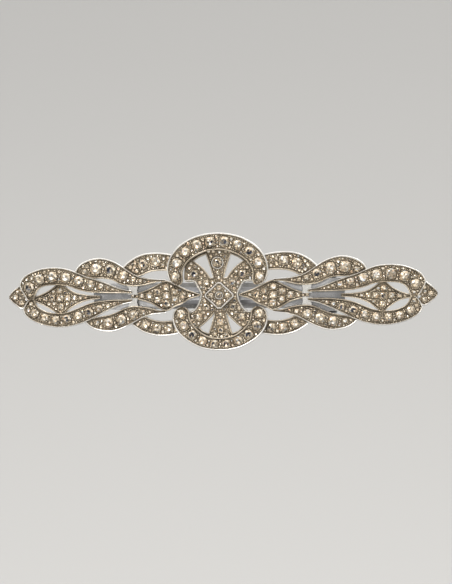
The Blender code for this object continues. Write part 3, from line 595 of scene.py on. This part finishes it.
# A cut stone's rings, from the table out: radius and height as shares of its radius.
TABLE_R, TABLE_H = 0.56, 0.46
STAR_R, STAR_H = 0.78, 0.29
GIRDLE_H = 0.03
FOOT_R, FOOT_DROP = 0.86, 0.26
# Tones are painted reflections, from 0, dark, to 1, bright.
WALL_TONE = 0.3
TONE_SPREAD, LEAN_SPREAD, TWIST_SPREAD = 0.27, 0.14, 0.5  # either way, between facets
GLINT_CHANCE, GLINT = 0.14, 0.42  # a painted glint: a patch of the table that is painted brighter
ROUND_FROM = 0.5  # stones from this radius up have eight sides, the others six


def brilliant(sketch, rng, u, v, r, h, mood):
    """Round cut stone: table, stars, kites, girdle facets and a short wall.

    The table and the crown show the foil behind them in patches, so every facet has a
    painted reflection as its tone, and a lean of its own. The table's tones are scattered
    round the stone's mood, and some tables get a painted glint.
    """
    turn = rng.uniform(0, 2 * math.pi)
    sides = 8 if r >= ROUND_FROM else 6
    half = math.pi / sides
    verts = [bent(u, v, h + TABLE_H * r)]
    verts += ring_of(u, v, TABLE_R * r, h + TABLE_H * r, sides, turn)
    verts += ring_of(u, v, STAR_R * r, h + STAR_H * r, sides, turn + half)
    verts += ring_of(u, v, r, h + GIRDLE_H * r, 2 * sides, turn)
    verts += ring_of(u, v, FOOT_R * r, h - FOOT_DROP * r, 2 * sides, turn)
    star, girdle, foot = 1 + sides, 1 + 2 * sides, 1 + 4 * sides
    faces, tones, leans = [], [], []

    def facet(corners, tone, outward, angle):
        push = outward + rng.uniform(-LEAN_SPREAD, LEAN_SPREAD)
        twist = angle + rng.uniform(-TWIST_SPREAD, TWIST_SPREAD)
        faces.append(corners)
        tones.append(tone + rng.uniform(-TONE_SPREAD, TONE_SPREAD))
        leans.append((push * math.cos(twist), 0.0, push * math.sin(twist)))

    for i in range(sides):
        j, k = (i + 1) % sides, (i - 1) % sides
        mid = turn + (2 * i + 1) * half
        # a painted glint on some tables
        glint = GLINT if rng.random() < GLINT_CHANCE else 0.0
        facet([0, 1 + i, 1 + j], mood + glint, -0.34, mid)
        facet([1 + i, star + i, 1 + j], 0.60, 0.02, mid)
        facet([1 + i, star + k, girdle + 2 * i, star + i], 0.58, -0.06, mid - half)
        facet([star + i, girdle + 2 * i, girdle + 2 * i + 1], 0.54, -0.20, mid)
        facet([star + i, girdle + 2 * i + 1, girdle + (2 * i + 2) % (2 * sides)], 0.54,
              -0.20, mid)
    wall = []
    for i in range(2 * sides):
        j = (i + 1) % (2 * sides)
        wall.append([girdle + i, foot + i, foot + j, girdle + j])
    wall.append([foot + i for i in range(2 * sides)][::-1])
    tones += [WALL_TONE] * len(wall)
    leans += [(0.0, 0.0, 0.0)] * len(wall)
    sketch.add(verts, faces + wall, 0, tones, leans)


def mood_of(works):
    """A stone's painted reflection is champagne, or at times dark blue-grey or a bright
    painted flash.
    """
    pick = works.rng.random()
    if pick < works.dark_share:
        return DARK
    if pick < works.dark_share + FLASHING_SHARE:
        return FLASHING
    return CHAMPAGNE


def covered(u, v, r, hidden):
    """True if part of a disc lies under one of the shapes above it."""
    rim = [(u + r * math.cos(k * math.pi / 4), v + r * math.sin(k * math.pi / 4))
           for k in range(8)]
    return any(inside(point, shape) for point in rim for shape in hidden)


DIAGONAL = 0.785    # the angle from a stone's row to its first holding bead


def set_stone(works, u, v, r, floor, along=None, hidden=(), mood=None):
    """A stone on its floor, held by four beads."""
    if covered(u, v, 0.8 * r, hidden):
        return
    brilliant(works.stones, works.rng, u, v, r, floor + 0.16 * r + 0.05,
              mood_of(works) if mood is None else mood)
    works.placed.append((u, v, r))
    start = DIAGONAL if along is None else math.atan2(along[1], along[0]) + DIAGONAL
    size = 0.10 + 0.07 * r
    for k in range(4):
        a = start + math.pi / 2 * k
        x, y = u + (r + 0.05) * math.cos(a), v + (r + 0.05) * math.sin(a)
        if not covered(x, y, size, hidden):
            dome(works.beads, bent(x, y, floor + 0.22 * r + 0.06), size * MM, 8, 1.15)
            works.placed.append((x, y, size))


def collar(works, u, v, r, h):
    """A smooth ring of metal that holds a stone all round."""
    loop = [Vector((u + r * math.cos(math.pi * k / 10), v + r * math.sin(math.pi * k / 10)))
            for k in range(20)]
    half_round_rim(works.body, loop, h, 0.15, True, -1.0)
    works.placed.append((u, v, r + 0.3))


class Works:
    """What is being made of one casting: its skins, and the discs that are taken."""

    def __init__(self, seed, dark_share):
        self.rng = random.Random(seed)
        self.dark_share = dark_share
        self.body, self.beads, self.stones = Sketch(), Sketch(), Sketch()
        self.placed = []


def inside_many(points, polygon):
    """For each point, whether it lies inside the polygon."""
    x, y = points[:, 0], points[:, 1]
    hit = np.zeros(len(points), bool)
    for (x0, y0), (x1, y1) in zip(polygon, polygon[1:] + polygon[:1]):
        if y0 != y1:
            cross = ((y0 > y) != (y1 > y)) & (x < (x1 - x0) * (y - y0) / (y1 - y0) + x0)
            hit ^= cross
    return hit


def edge_distance(points, polygon):
    """For each point, how far the polygon's border is."""
    best = np.full(len(points), 1e9)
    for a, b in zip(polygon, polygon[1:] + polygon[:1]):
        a, step = np.array(a), np.array(b) - np.array(a)
        size = step @ step
        if size > 1e-12:
            t = np.clip((points - a) @ step / size, 0.0, 1.0)
            best = np.minimum(best, np.hypot(*(points - a - t[:, None] * step).T))
    return best


SPOTS_PER_MM2 = 26   # places tried when a region is filled


def pave(works, region, floor, edge, cuts=(), hidden=(),
         sizes=((0.52, 0.50), (0.40, 0.38), (0.30, 0.28))):
    """Fills what is left of a region with small stones, then with beads.

    The edge is the rim's width. Cuts are holes, with the width of metal round them;
    hidden are the shapes of higher metal that lies over the region.
    """
    corner = np.array(region)
    low, high = corner.min(0), corner.max(0)
    rng = works.rng
    count = int((high[0] - low[0]) * (high[1] - low[1]) * SPOTS_PER_MM2)
    spots = np.array([(rng.uniform(low[0], high[0]), rng.uniform(low[1], high[1]))
                      for _ in range(count)])
    spots = spots[inside_many(spots, region)]
    for shape in hidden:
        spots = spots[~inside_many(spots, shape)]
    for shape, _ in cuts:
        spots = spots[~inside_many(spots, shape)]
    if not len(spots):
        return
    room = edge_distance(spots, region) - edge
    for shape, margin in cuts:
        room = np.minimum(room, edge_distance(spots, shape) - margin)
    taken = [disc for disc in works.placed
             if low[0] - 2 < disc[0] < high[0] + 2 and low[1] - 2 < disc[1] < high[1] + 2]
    taken = np.array(taken) if taken else np.zeros((0, 3))
    steps = [(*size, True) for size in sizes] + [(0.20, 0.19, False), (0.15, 0.14, False)]
    for need, r, is_stone in steps:
        for (x, y), space in zip(spots, room):
            if space < need - 0.04:
                continue
            if len(taken):
                gap = np.hypot(taken[:, 0] - x, taken[:, 1] - y) - taken[:, 2]
                if gap.min() < need + (0.03 if is_stone else -0.03):
                    continue
            if is_stone:
                brilliant(works.stones, rng, x, y, r, floor + 0.14 * r + 0.03,
                          mood_of(works))
            else:
                dome(works.beads, bent(x, y, floor + 0.06), r * MM)
            taken = np.vstack([taken, (x, y, r)])
            works.placed.append((x, y, r))


ROW_SAMPLES = 161
ROW_SMALLEST = 0.42       # radius under which a row ends
ROW_END, ROW_SPAN = 0.065, 0.87  # where a counted row starts and how much it covers


def row_of_stones(works, edges, floor, largest, anchor=None, count=None, hidden=()):
    """Stones along a band's middle, each as large as its floor there allows.

    A row with a count is spaced evenly; the others grow both ways from their anchor.
    """
    p, q = smooth(edges[0], ROW_SAMPLES), smooth(edges[1], ROW_SAMPLES)
    middle = [(a + b) / 2 for a, b in zip(p, q)]
    length = line_length(middle)

    def at(s):
        f = min(max(s / length, 0.0), 1.0)
        point = resample(middle, [f])[0]
        ahead = resample(middle, [min(f + 0.01, 1.0)])[0]
        behind = resample(middle, [max(f - 0.01, 0.0)])[0]
        room = min(min((point - e).length for e in edge) for edge in (p, q))
        return point, (ahead - behind).normalized(), room - RIM - 0.10

    if count:
        spots = [(ROW_END + ROW_SPAN * i / (count - 1)) * length for i in range(count)]
    else:
        start = min(range(ROW_SAMPLES),
                    key=lambda i: (middle[i] - Vector(anchor)).length)
        first = line_length(middle[:start + 1]) if start else 0.0
        spots = [first]
        for way in (1, -1):
            s = first
            r = min(largest, at(s)[2])
            while True:
                ahead = min(largest, at(s + way * 2 * r)[2])
                s += way * (r + max(ahead, 0.1) + 0.34 + 0.34 * r)
                r = min(largest, at(s)[2])
                if r < ROW_SMALLEST or not 0.6 < s < length - 0.4:
                    break
                spots.append(s)
    for s in spots:
        point, along, room = at(s)
        r = min(largest, room)
        if r >= ROW_SMALLEST:
            set_stone(works, point.x, point.y, r, floor, along, hidden)


def outline_of(edges):
    p, q = smooth(edges[0], 40), smooth(edges[1], 40)
    return [tuple(a) for a in p] + [tuple(b) for b in reversed(q)]


def flat_plate(sketch, outline, h0, h1, slot=PLAIN, holes=()):
    """A plate with walls, from closed outlines in (u, v); its faces are triangles."""
    bm = bmesh.new()
    for loop in [outline, *holes]:
        verts = [bm.verts.new((u, v, 0.0)) for u, v in loop]
        for a, b in zip(verts, verts[1:] + verts[:1]):
            bm.edges.new((a, b))
    bmesh.ops.triangle_fill(bm, use_beauty=True, use_dissolve=False,
                            edges=bm.edges[:])
    for _ in range(2):
        long_edges = [e for e in bm.edges if len(e.link_faces) == 2
                      and e.calc_length() > 1.6]
        if long_edges:
            bmesh.ops.subdivide_edges(bm, edges=long_edges, cuts=1)
            bmesh.ops.triangulate(bm, faces=bm.faces[:])
    bm.verts.ensure_lookup_table()
    bm.verts.index_update()
    points = [(p.co.x, p.co.y) for p in bm.verts]
    tris = [[x.index for x in face.verts] for face in bm.faces]
    border = [[x.index for x in e.verts] for e in bm.edges if len(e.link_faces) == 1]
    n = len(points)
    bm.free()
    verts = [bent(u, v, h1) for u, v in points] + [bent(u, v, h0) for u, v in points]
    back = [[n + i for i in tri[::-1]] for tri in tris]
    walls = [[a, b, n + b, n + a] for a, b in border]
    kinds = [slot] * len(tris) + [BACK] * len(back) + [PLAIN] * len(walls)
    sketch.add(verts, tris + back + walls, kinds)


def half_round_rim(sketch, line, h_top, r, closed, side, slot=PLAIN):
    """A raised rounded rim along a line in (u, v), standing inside its edge."""
    n = len(line)
    rings = []
    for i in range(n):
        if closed:
            t = line[(i + 1) % n] - line[i - 1]
        else:
            t = line[min(i + 1, n - 1)] - line[max(i - 1, 0)]
        t.normalize()
        normal = Vector((-t.y, t.x)) * side
        centre = line[i] + normal * r
        ring = []
        for k in range(8):
            a = math.radians(45 * k + 22.5)
            spot = centre + normal * r * math.cos(a)
            ring.append(bent(spot.x, spot.y, h_top - r + r * math.sin(a)))
        rings.append(ring)
    if closed:
        rings.append(rings[0])
    loft(sketch, rings, [slot] * 8, cap=not closed)


WING_BANDS = [  # name, edges, back, top, largest stone in its row, where the row starts
    ("in_up", IN_UP, 0.14, H_IN, 1.22, (15.6, 8.2)),
    ("in_low", IN_LOW, 0.14, H_IN, 1.12, (15.4, -7.75)),
    ("kite", KITE, 0.0, H_KITE, 0.0, None),
    ("end_kite", END_KITE, 0.16, H_END_KITE, 0.0, None),
    ("tip", TIP, 0.24, H_TIP, 0.0, None),
    ("mid_up", MID_UP, 0.08, H_MID, 1.40, (30.4, 6.85)),
    ("mid_low", MID_LOW, 0.08, H_MID, 1.25, (27.4, -6.5)),
    ("low_loop", LOW_LOOP, 0.04, H_LOW_LOOP, 1.10, (40.6, -5.95)),
    ("up_loop", UP_LOOP, 0.02, H_UP_LOOP, 1.30, (41.3, 5.2)),
]
FINISH = {"kite": (GRAINED, GRAINED), "end_kite": (GRAINED, GRAINED),
          "tip": (PLAIN, PLAIN)}
LISTED_STONES = {"kite": KITE_STONES, "end_kite": END_KITE_STONES, "tip": TIP_STONES}


def crescent_edges(outer, inner, centre):
    """A crescent's two edges, from the right halves that are listed."""
    return [[(centre + u, v) for u, v in half]
            + [(centre - u, v) for u, v in reversed(half[:-1])] for half in (outer, inner)]


UP_EDGES = crescent_edges(UP_OUT, UP_IN, UP_CENTRE_U)
LOW_EDGES = crescent_edges(LOW_OUT, LOW_IN, LOW_CENTRE_U)


def finish_casting(works, name, replaced, stone_nodes):
    casting = works.body.build(name + "_casting", CASTING_MATERIALS)
    grains = works.beads.build(name + "_grains", [GRAIN], 60.0)
    gems = works.stones.build(name + "_stones", [STONE], 3.0)
    for piece in (casting, grains, gems):
        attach(piece, "ornament")
    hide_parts(replaced)
    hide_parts(*stone_nodes)


def make_wing(side, sign):
    works = Works(SEEDS[side], WING_DARK_SHARE)
    own = {} if sign > 0 else {"end_kite": LEFT_END_KITE}
    bands = []
    for name, edges, *rest in WING_BANDS:
        p, q = own.get(name, edges)
        bands.append((name, (mirrored(p, sign), mirrored(q, sign)), *rest))
    crescents = [outline_of(UP_EDGES), outline_of(LOW_EDGES)]
    outlines = {name: outline_of(edges) for name, edges, *rest in bands}
    tops = {name: h1 for name, edges, h0, h1, *rest in bands}
    for name, edges, h0, h1, largest, anchor in bands:
        over = crescents + [outlines[n] for n in outlines if tops[n] > h1 + 0.1]
        dress_edges(works, edges, h0, h1, FINISH.get(name, (PLAIN, GRAINED)), over)
        floor = h1 - FLOOR_DROP
        works.placed = []
        if name in LISTED_STONES:
            for u, v, r in LISTED_STONES[name]:
                set_stone(works, sign * u, v, r, floor, None, over)
        else:
            row_of_stones(works, edges, floor, largest, (sign * anchor[0], anchor[1]),
                          None, over)
        pave(works, outlines[name], floor, PAVED_EDGE, (), over)
    for outline in (BAR_UP, BAR_LOW):
        flat_plate(works.body, mirrored(outline, sign), 0.18, H_BAR)
    for u, v, r in JUNCTION_STONES:
        set_stone(works, sign * u, v, r, H_JUNCTION)
    name = side + "_wing"
    finish_casting(works, name, name, ["stone_%s_%s" % (side, place) for place in
                   ("loop_upper", "loop_lower", "leaf_upper", "leaf_lower")])


def turned_in(loop):
    """The side on which a closed loop's inside lies: 1 left, -1 right."""
    pairs = zip(loop, loop[1:] + loop[:1])
    return 1.0 if sum(a[0] * b[1] - b[0] * a[1] for a, b in pairs) > 0 else -1.0


def rim_round(works, loop, h, r, outward, slot=PLAIN):
    """A rounded rim round a closed loop, standing inside or outside it."""
    fine = []
    for a, b in zip(loop, loop[1:] + loop[:1]):
        steps = max(1, int((Vector(b) - Vector(a)).length / 0.6))
        fine += [Vector(a).lerp(Vector(b), k / steps) for k in range(steps)]
    side = -turned_in(loop) if outward else turned_in(loop)
    half_round_rim(works.body, fine, h, r, True, side, slot)


def beads_round(works, loop, h, out, r, pitch):
    """Beads along the top of the rim round a hole."""
    side = turned_in(loop)
    for a, b in zip(loop, loop[1:] + loop[:1]):
        a, b = Vector(a), Vector(b)
        along = (b - a).normalized()
        normal = Vector((along.y, -along.x)) * side
        count = max(1, round((b - a).length / pitch))
        for k in range(count):
            spot = a.lerp(b, (k + 0.5) / count) + normal * out
            dome(works.beads, bent(spot.x, spot.y, h), r * MM)


def make_cross(works, crescents):
    cross = CROSS_EDGE + [(-u, v) for u, v in reversed(CROSS_EDGE[1:-1])]
    cross = [tuple(p) for p in smooth(cross, 91, True)[:-1]]
    holes = []
    for sign in (1, -1):
        holes.append([(sign * u + 0.5 * UP_CENTRE_U, v) for u, v in HOLE_UP])
        holes.append([(sign * u + LOW_CENTRE_U, v) for u, v in HOLE_LOW])
    floor = H_PLATE - PLATE_DROP
    flat_plate(works.body, cross, 0.0, floor, FLOOR, holes)
    for hole in holes:
        rim_round(works, hole, H_PLATE, 0.19, True, GRAINED)
        beads_round(works, hole, H_PLATE - 0.04, 0.19, 0.14, 0.37)
    for sign in (1, -1):
        side_line = smooth(mirrored(CROSS_SIDE, sign), 40)
        half_round_rim(works.body, side_line, H_PLATE, 0.19, False, -sign)
    for u, v, r, mood in CROSS_STONES:
        set_stone(works, u, v, r, floor, None, crescents, mood)
    north_u, north_v, north_r, _ = CROSS_STONES[0]
    collar(works, north_u, north_v, north_r + 0.10, floor + 0.34)
    for u, v, r in CROSS_SMALL_STONES:
        set_stone(works, u, v, r, floor, None, crescents)
    cuts = [(hole, 0.46) for hole in holes] + [(DIAMOND, 0.05)]
    pave(works, cross, floor, PAVED_EDGE, cuts, crescents)


def make_diamond(works):
    works.placed = []
    floor = H_DIAMOND - DIAMOND_DROP
    flat_plate(works.body, DIAMOND, 0.2, floor, FLOOR)
    rim_round(works, DIAMOND, H_DIAMOND, 0.21, False)
    for u, v, r, mood in DIAMOND_STONES:
        set_stone(works, u, v, r, floor, mood=mood)
    middle_u, middle_v, middle_r, _ = DIAMOND_STONES[0]
    collar(works, middle_u, middle_v, middle_r + 0.10, floor + 0.22)
    pave(works, DIAMOND, floor, 0.46, (), (), ((0.36, 0.34), (0.26, 0.25)))


def make_crescent(works, edges, largest):
    """A crescent over the cross, on a wall that ends where it lies over the wings."""
    works.placed = []
    dress_edges(works, edges, H_LAP, H_CRESCENT, (PLAIN, GRAINED), ())
    floor = H_CRESCENT - FLOOR_DROP
    row_of_stones(works, edges, floor, largest, None, CRESCENT_COUNT)
    pave(works, outline_of(edges), floor, PAVED_EDGE)
    p, q = smooth(edges[0], 81), smooth(edges[1], 81)
    keep = [i for i in range(81) if max(abs(p[i].x), abs(q[i].x)) < U_FULL]
    skirt = [tuple(p[i]) for i in keep] + [tuple(q[i]) for i in reversed(keep)]
    flat_plate(works.body, skirt, 0.12, H_LAP + 0.2)


def make_medallion():
    works = Works(SEEDS["medallion"], MEDALLION_DARK_SHARE)
    make_cross(works, [outline_of(UP_EDGES), outline_of(LOW_EDGES)])
    make_diamond(works)
    make_crescent(works, UP_EDGES, UP_LARGEST)
    make_crescent(works, LOW_EDGES, LOW_LARGEST)
    own = [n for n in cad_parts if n.startswith(("stone_cross", "stone_centre",
                                                      "stone_crescent"))]
    finish_casting(works, "medallion", "centre_medallion", own)


# ==== clip ====
def refine(node, body, mat, width):
    """The CAD part again, with its edges rounded by a width and its curves smooth."""
    bm = bmesh.new()
    bm.from_mesh(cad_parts[node].data)
    bmesh.ops.remove_doubles(bm, verts=bm.verts, dist=2e-6)
    bmesh.ops.dissolve_limit(bm, angle_limit=math.radians(1.0), verts=bm.verts,
                             edges=bm.edges)
    bm.normal_update()
    crisp = [e for e in bm.edges if len(e.link_faces) == 2
             and e.calc_face_angle(0.0) > math.radians(32)]
    bmesh.ops.bevel(bm, geom=crisp, offset=width * MM, offset_type="OFFSET", segments=2,
                    profile=0.6, affect="EDGES", clamp_overlap=True)
    bmesh.ops.triangulate(bm, faces=bm.faces[:])
    bmesh.ops.recalc_face_normals(bm, faces=bm.faces)
    mesh = bpy.data.meshes.new(node + "_fine")
    bm.to_mesh(mesh)
    bm.free()
    mesh.materials.append(mat)
    mesh.shade_smooth()
    mesh.set_sharp_from_angle(angle=math.radians(30))
    piece = new_object(node + "_fine", mesh)
    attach(piece, body)
    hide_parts(node)


def dress_clip():
    for node, body, width in (("clip_base_plate", "ornament", 0.12),
                              ("clip_arm", "arm", 0.14),
                              ("hinge_rivet", "ornament", 0.12),
                              ("mount_rivet_left", "ornament", 0.08),
                              ("mount_rivet_centre", "ornament", 0.08),
                              ("mount_rivet_right", "ornament", 0.08)):
        refine(node, body, STEEL, width)
    for node, body, width in (("tension_bow", "bow", 0.08),
                              ("catch_prong_upper", "prong_upper", 0.07),
                              ("catch_prong_lower", "prong_lower", 0.07)):
        refine(node, body, SPRING, width)


# ==== stage ====
def make_stage():
    """A pale floor that curves up all round into a bowl.

    The bowl is left out of reflections and shadows, where the studio's soft boxes,
    which are painted on the world, take its place.
    """
    floor_z, flat, bend, wall = -0.30, 0.70, 0.55, 1.6  # in metres, like all the stage
    profile = [(flat, floor_z)]
    for k in range(1, 17):
        a = math.pi / 2 * k / 16
        profile.append((flat + bend * math.sin(a), floor_z + bend * (1 - math.cos(a))))
    profile.append((flat + bend, floor_z + wall))
    sides = 72
    verts = [Vector((0.0, 0.0, floor_z))]
    for r, z in profile:
        verts += [Vector((r * math.cos(2 * math.pi * i / sides),
                          r * math.sin(2 * math.pi * i / sides), z))
                  for i in range(sides)]
    faces = [[0, 1 + i, 1 + (i + 1) % sides] for i in range(sides)]
    for k in range(len(profile) - 1):
        for i in range(sides):
            j = (i + 1) % sides
            a, b = 1 + k * sides, 1 + (k + 1) * sides
            faces.append([a + i, b + i, b + j, a + j])
    mesh = bpy.data.meshes.new("floor")
    mesh.from_pydata(verts, [], faces)
    mesh.shade_smooth()
    floor = new_object("floor", mesh)
    mat, tree, shader = node_material("pale_floor")
    shader.inputs["Base Color"].default_value = (0.53, 0.528, 0.522, 1.0)
    shader.inputs["Roughness"].default_value = 0.9
    shader.inputs["Specular IOR Level"].default_value = 0.1
    mesh.materials.append(mat)
    floor.visible_glossy = False
    floor.visible_diffuse = False
    floor.visible_shadow = False


def soft_box(tree, direction, facing, inner, outer, strength, total):
    """Adds a soft bright patch of the world's sphere to the running total."""
    dot = tree.nodes.new("ShaderNodeVectorMath")
    dot.operation = "DOT_PRODUCT"
    tree.links.new(direction, dot.inputs[0])
    dot.inputs[1].default_value = Vector(facing).normalized()
    edge = tree.nodes.new("ShaderNodeMapRange")
    edge.interpolation_type = "SMOOTHSTEP"
    edge.inputs["From Min"].default_value = outer
    edge.inputs["From Max"].default_value = inner
    edge.inputs["To Max"].default_value = strength
    link(tree, dot, "Value", edge, "Value")
    add = tree.nodes.new("ShaderNodeMath")
    add.operation = "ADD"
    tree.links.new(edge.outputs["Result"], add.inputs[0])
    if isinstance(total, float):
        add.inputs[1].default_value = total
    else:
        tree.links.new(total, add.inputs[1])
    return add.outputs["Value"]


SOFT_BOXES = [  # facing, inner edge, outer edge, strength
    ((0.0, 0.0, 1.0), 0.72, 0.45, 0.85),
    ((-0.55, -0.70, 0.50), 0.965, 0.90, 1.6),
    ((0.70, -0.65, 0.28), 0.975, 0.93, 1.3),
    ((0.10, -0.95, 0.22), 0.992, 0.975, 0.9),
    ((-0.25, -0.90, -0.35), 0.985, 0.955, 1.2),
    ((0.35, -0.80, -0.45), 0.985, 0.96, 0.9),
    ((0.0, 1.0, 0.75), 0.97, 0.85, 0.55),
    ((-0.50, 0.75, 0.35), 0.97, 0.93, 1.1),
    ((0.60, 0.70, -0.10), 0.975, 0.94, 0.8),
]


SOFT_LIGHT = 0.46  # of the world outside the soft boxes


def make_world():
    world = bpy.data.worlds.new("studio")
    bpy.context.scene.world = world
    world.use_nodes = True
    tree = world.node_tree
    coords = tree.nodes.new("ShaderNodeTexCoord")
    total = SOFT_LIGHT
    for box in SOFT_BOXES:
        total = soft_box(tree, coords.outputs["Generated"], *box, total)
    background = tree.nodes["Background"]
    background.inputs["Color"].default_value = (1.0, 0.985, 0.96, 1.0)
    tree.links.new(total, background.inputs["Strength"])


def area_light(name, place, size, watts, colour):
    """A lamp that faces the ornament."""
    aim = Vector((0.0, -0.008, 0.0))
    data = bpy.data.lights.new(name, "AREA")
    data.shape = "RECTANGLE"
    data.size, data.size_y = size
    data.energy = watts
    data.color = colour
    lamp = new_object(name, data)
    lamp.location = place
    lamp.rotation_euler = (aim - Vector(place)).to_track_quat("-Z", "Y").to_euler()


def light_studio():
    area_light("key", (-0.30, -0.50, 0.62), (0.30, 0.30), 3.2, (1.0, 0.98, 0.95))
    area_light("back", (0.30, 0.55, 0.50), (0.40, 0.30), 1.2, (1.0, 1.0, 1.0))


def make_camera():
    data = bpy.data.cameras.new("camera")
    camera = new_object("camera", data)
    distance, azimuth, roll = 0.50, math.radians(5.5), math.radians(-0.53)
    frame_height = 0.1414  # at the ornament, in metres
    aim = Vector((0.00150, BACK_Y * MM, 0.00083))
    back = Vector((math.sin(azimuth), -math.cos(azimuth), 0.0))
    data.lens = data.sensor_width / 2 / (frame_height / 2 / distance)
    camera.location = aim + back * distance
    turn = (-back).to_track_quat("-Z", "Y")
    camera.rotation_euler = (turn @ Matrix.Rotation(roll, 3, "Z").to_quaternion()
                             ).to_euler()
    data.clip_start, data.clip_end = 0.01, 20.0
    bpy.context.scene.camera = camera


make_wing("left", -1)
make_wing("right", 1)
make_medallion()
dress_clip()
make_stage()
make_world()
light_studio()
make_camera()
bpy.context.scene.view_settings.view_transform = "Standard"

bpy.context.view_layer.update()
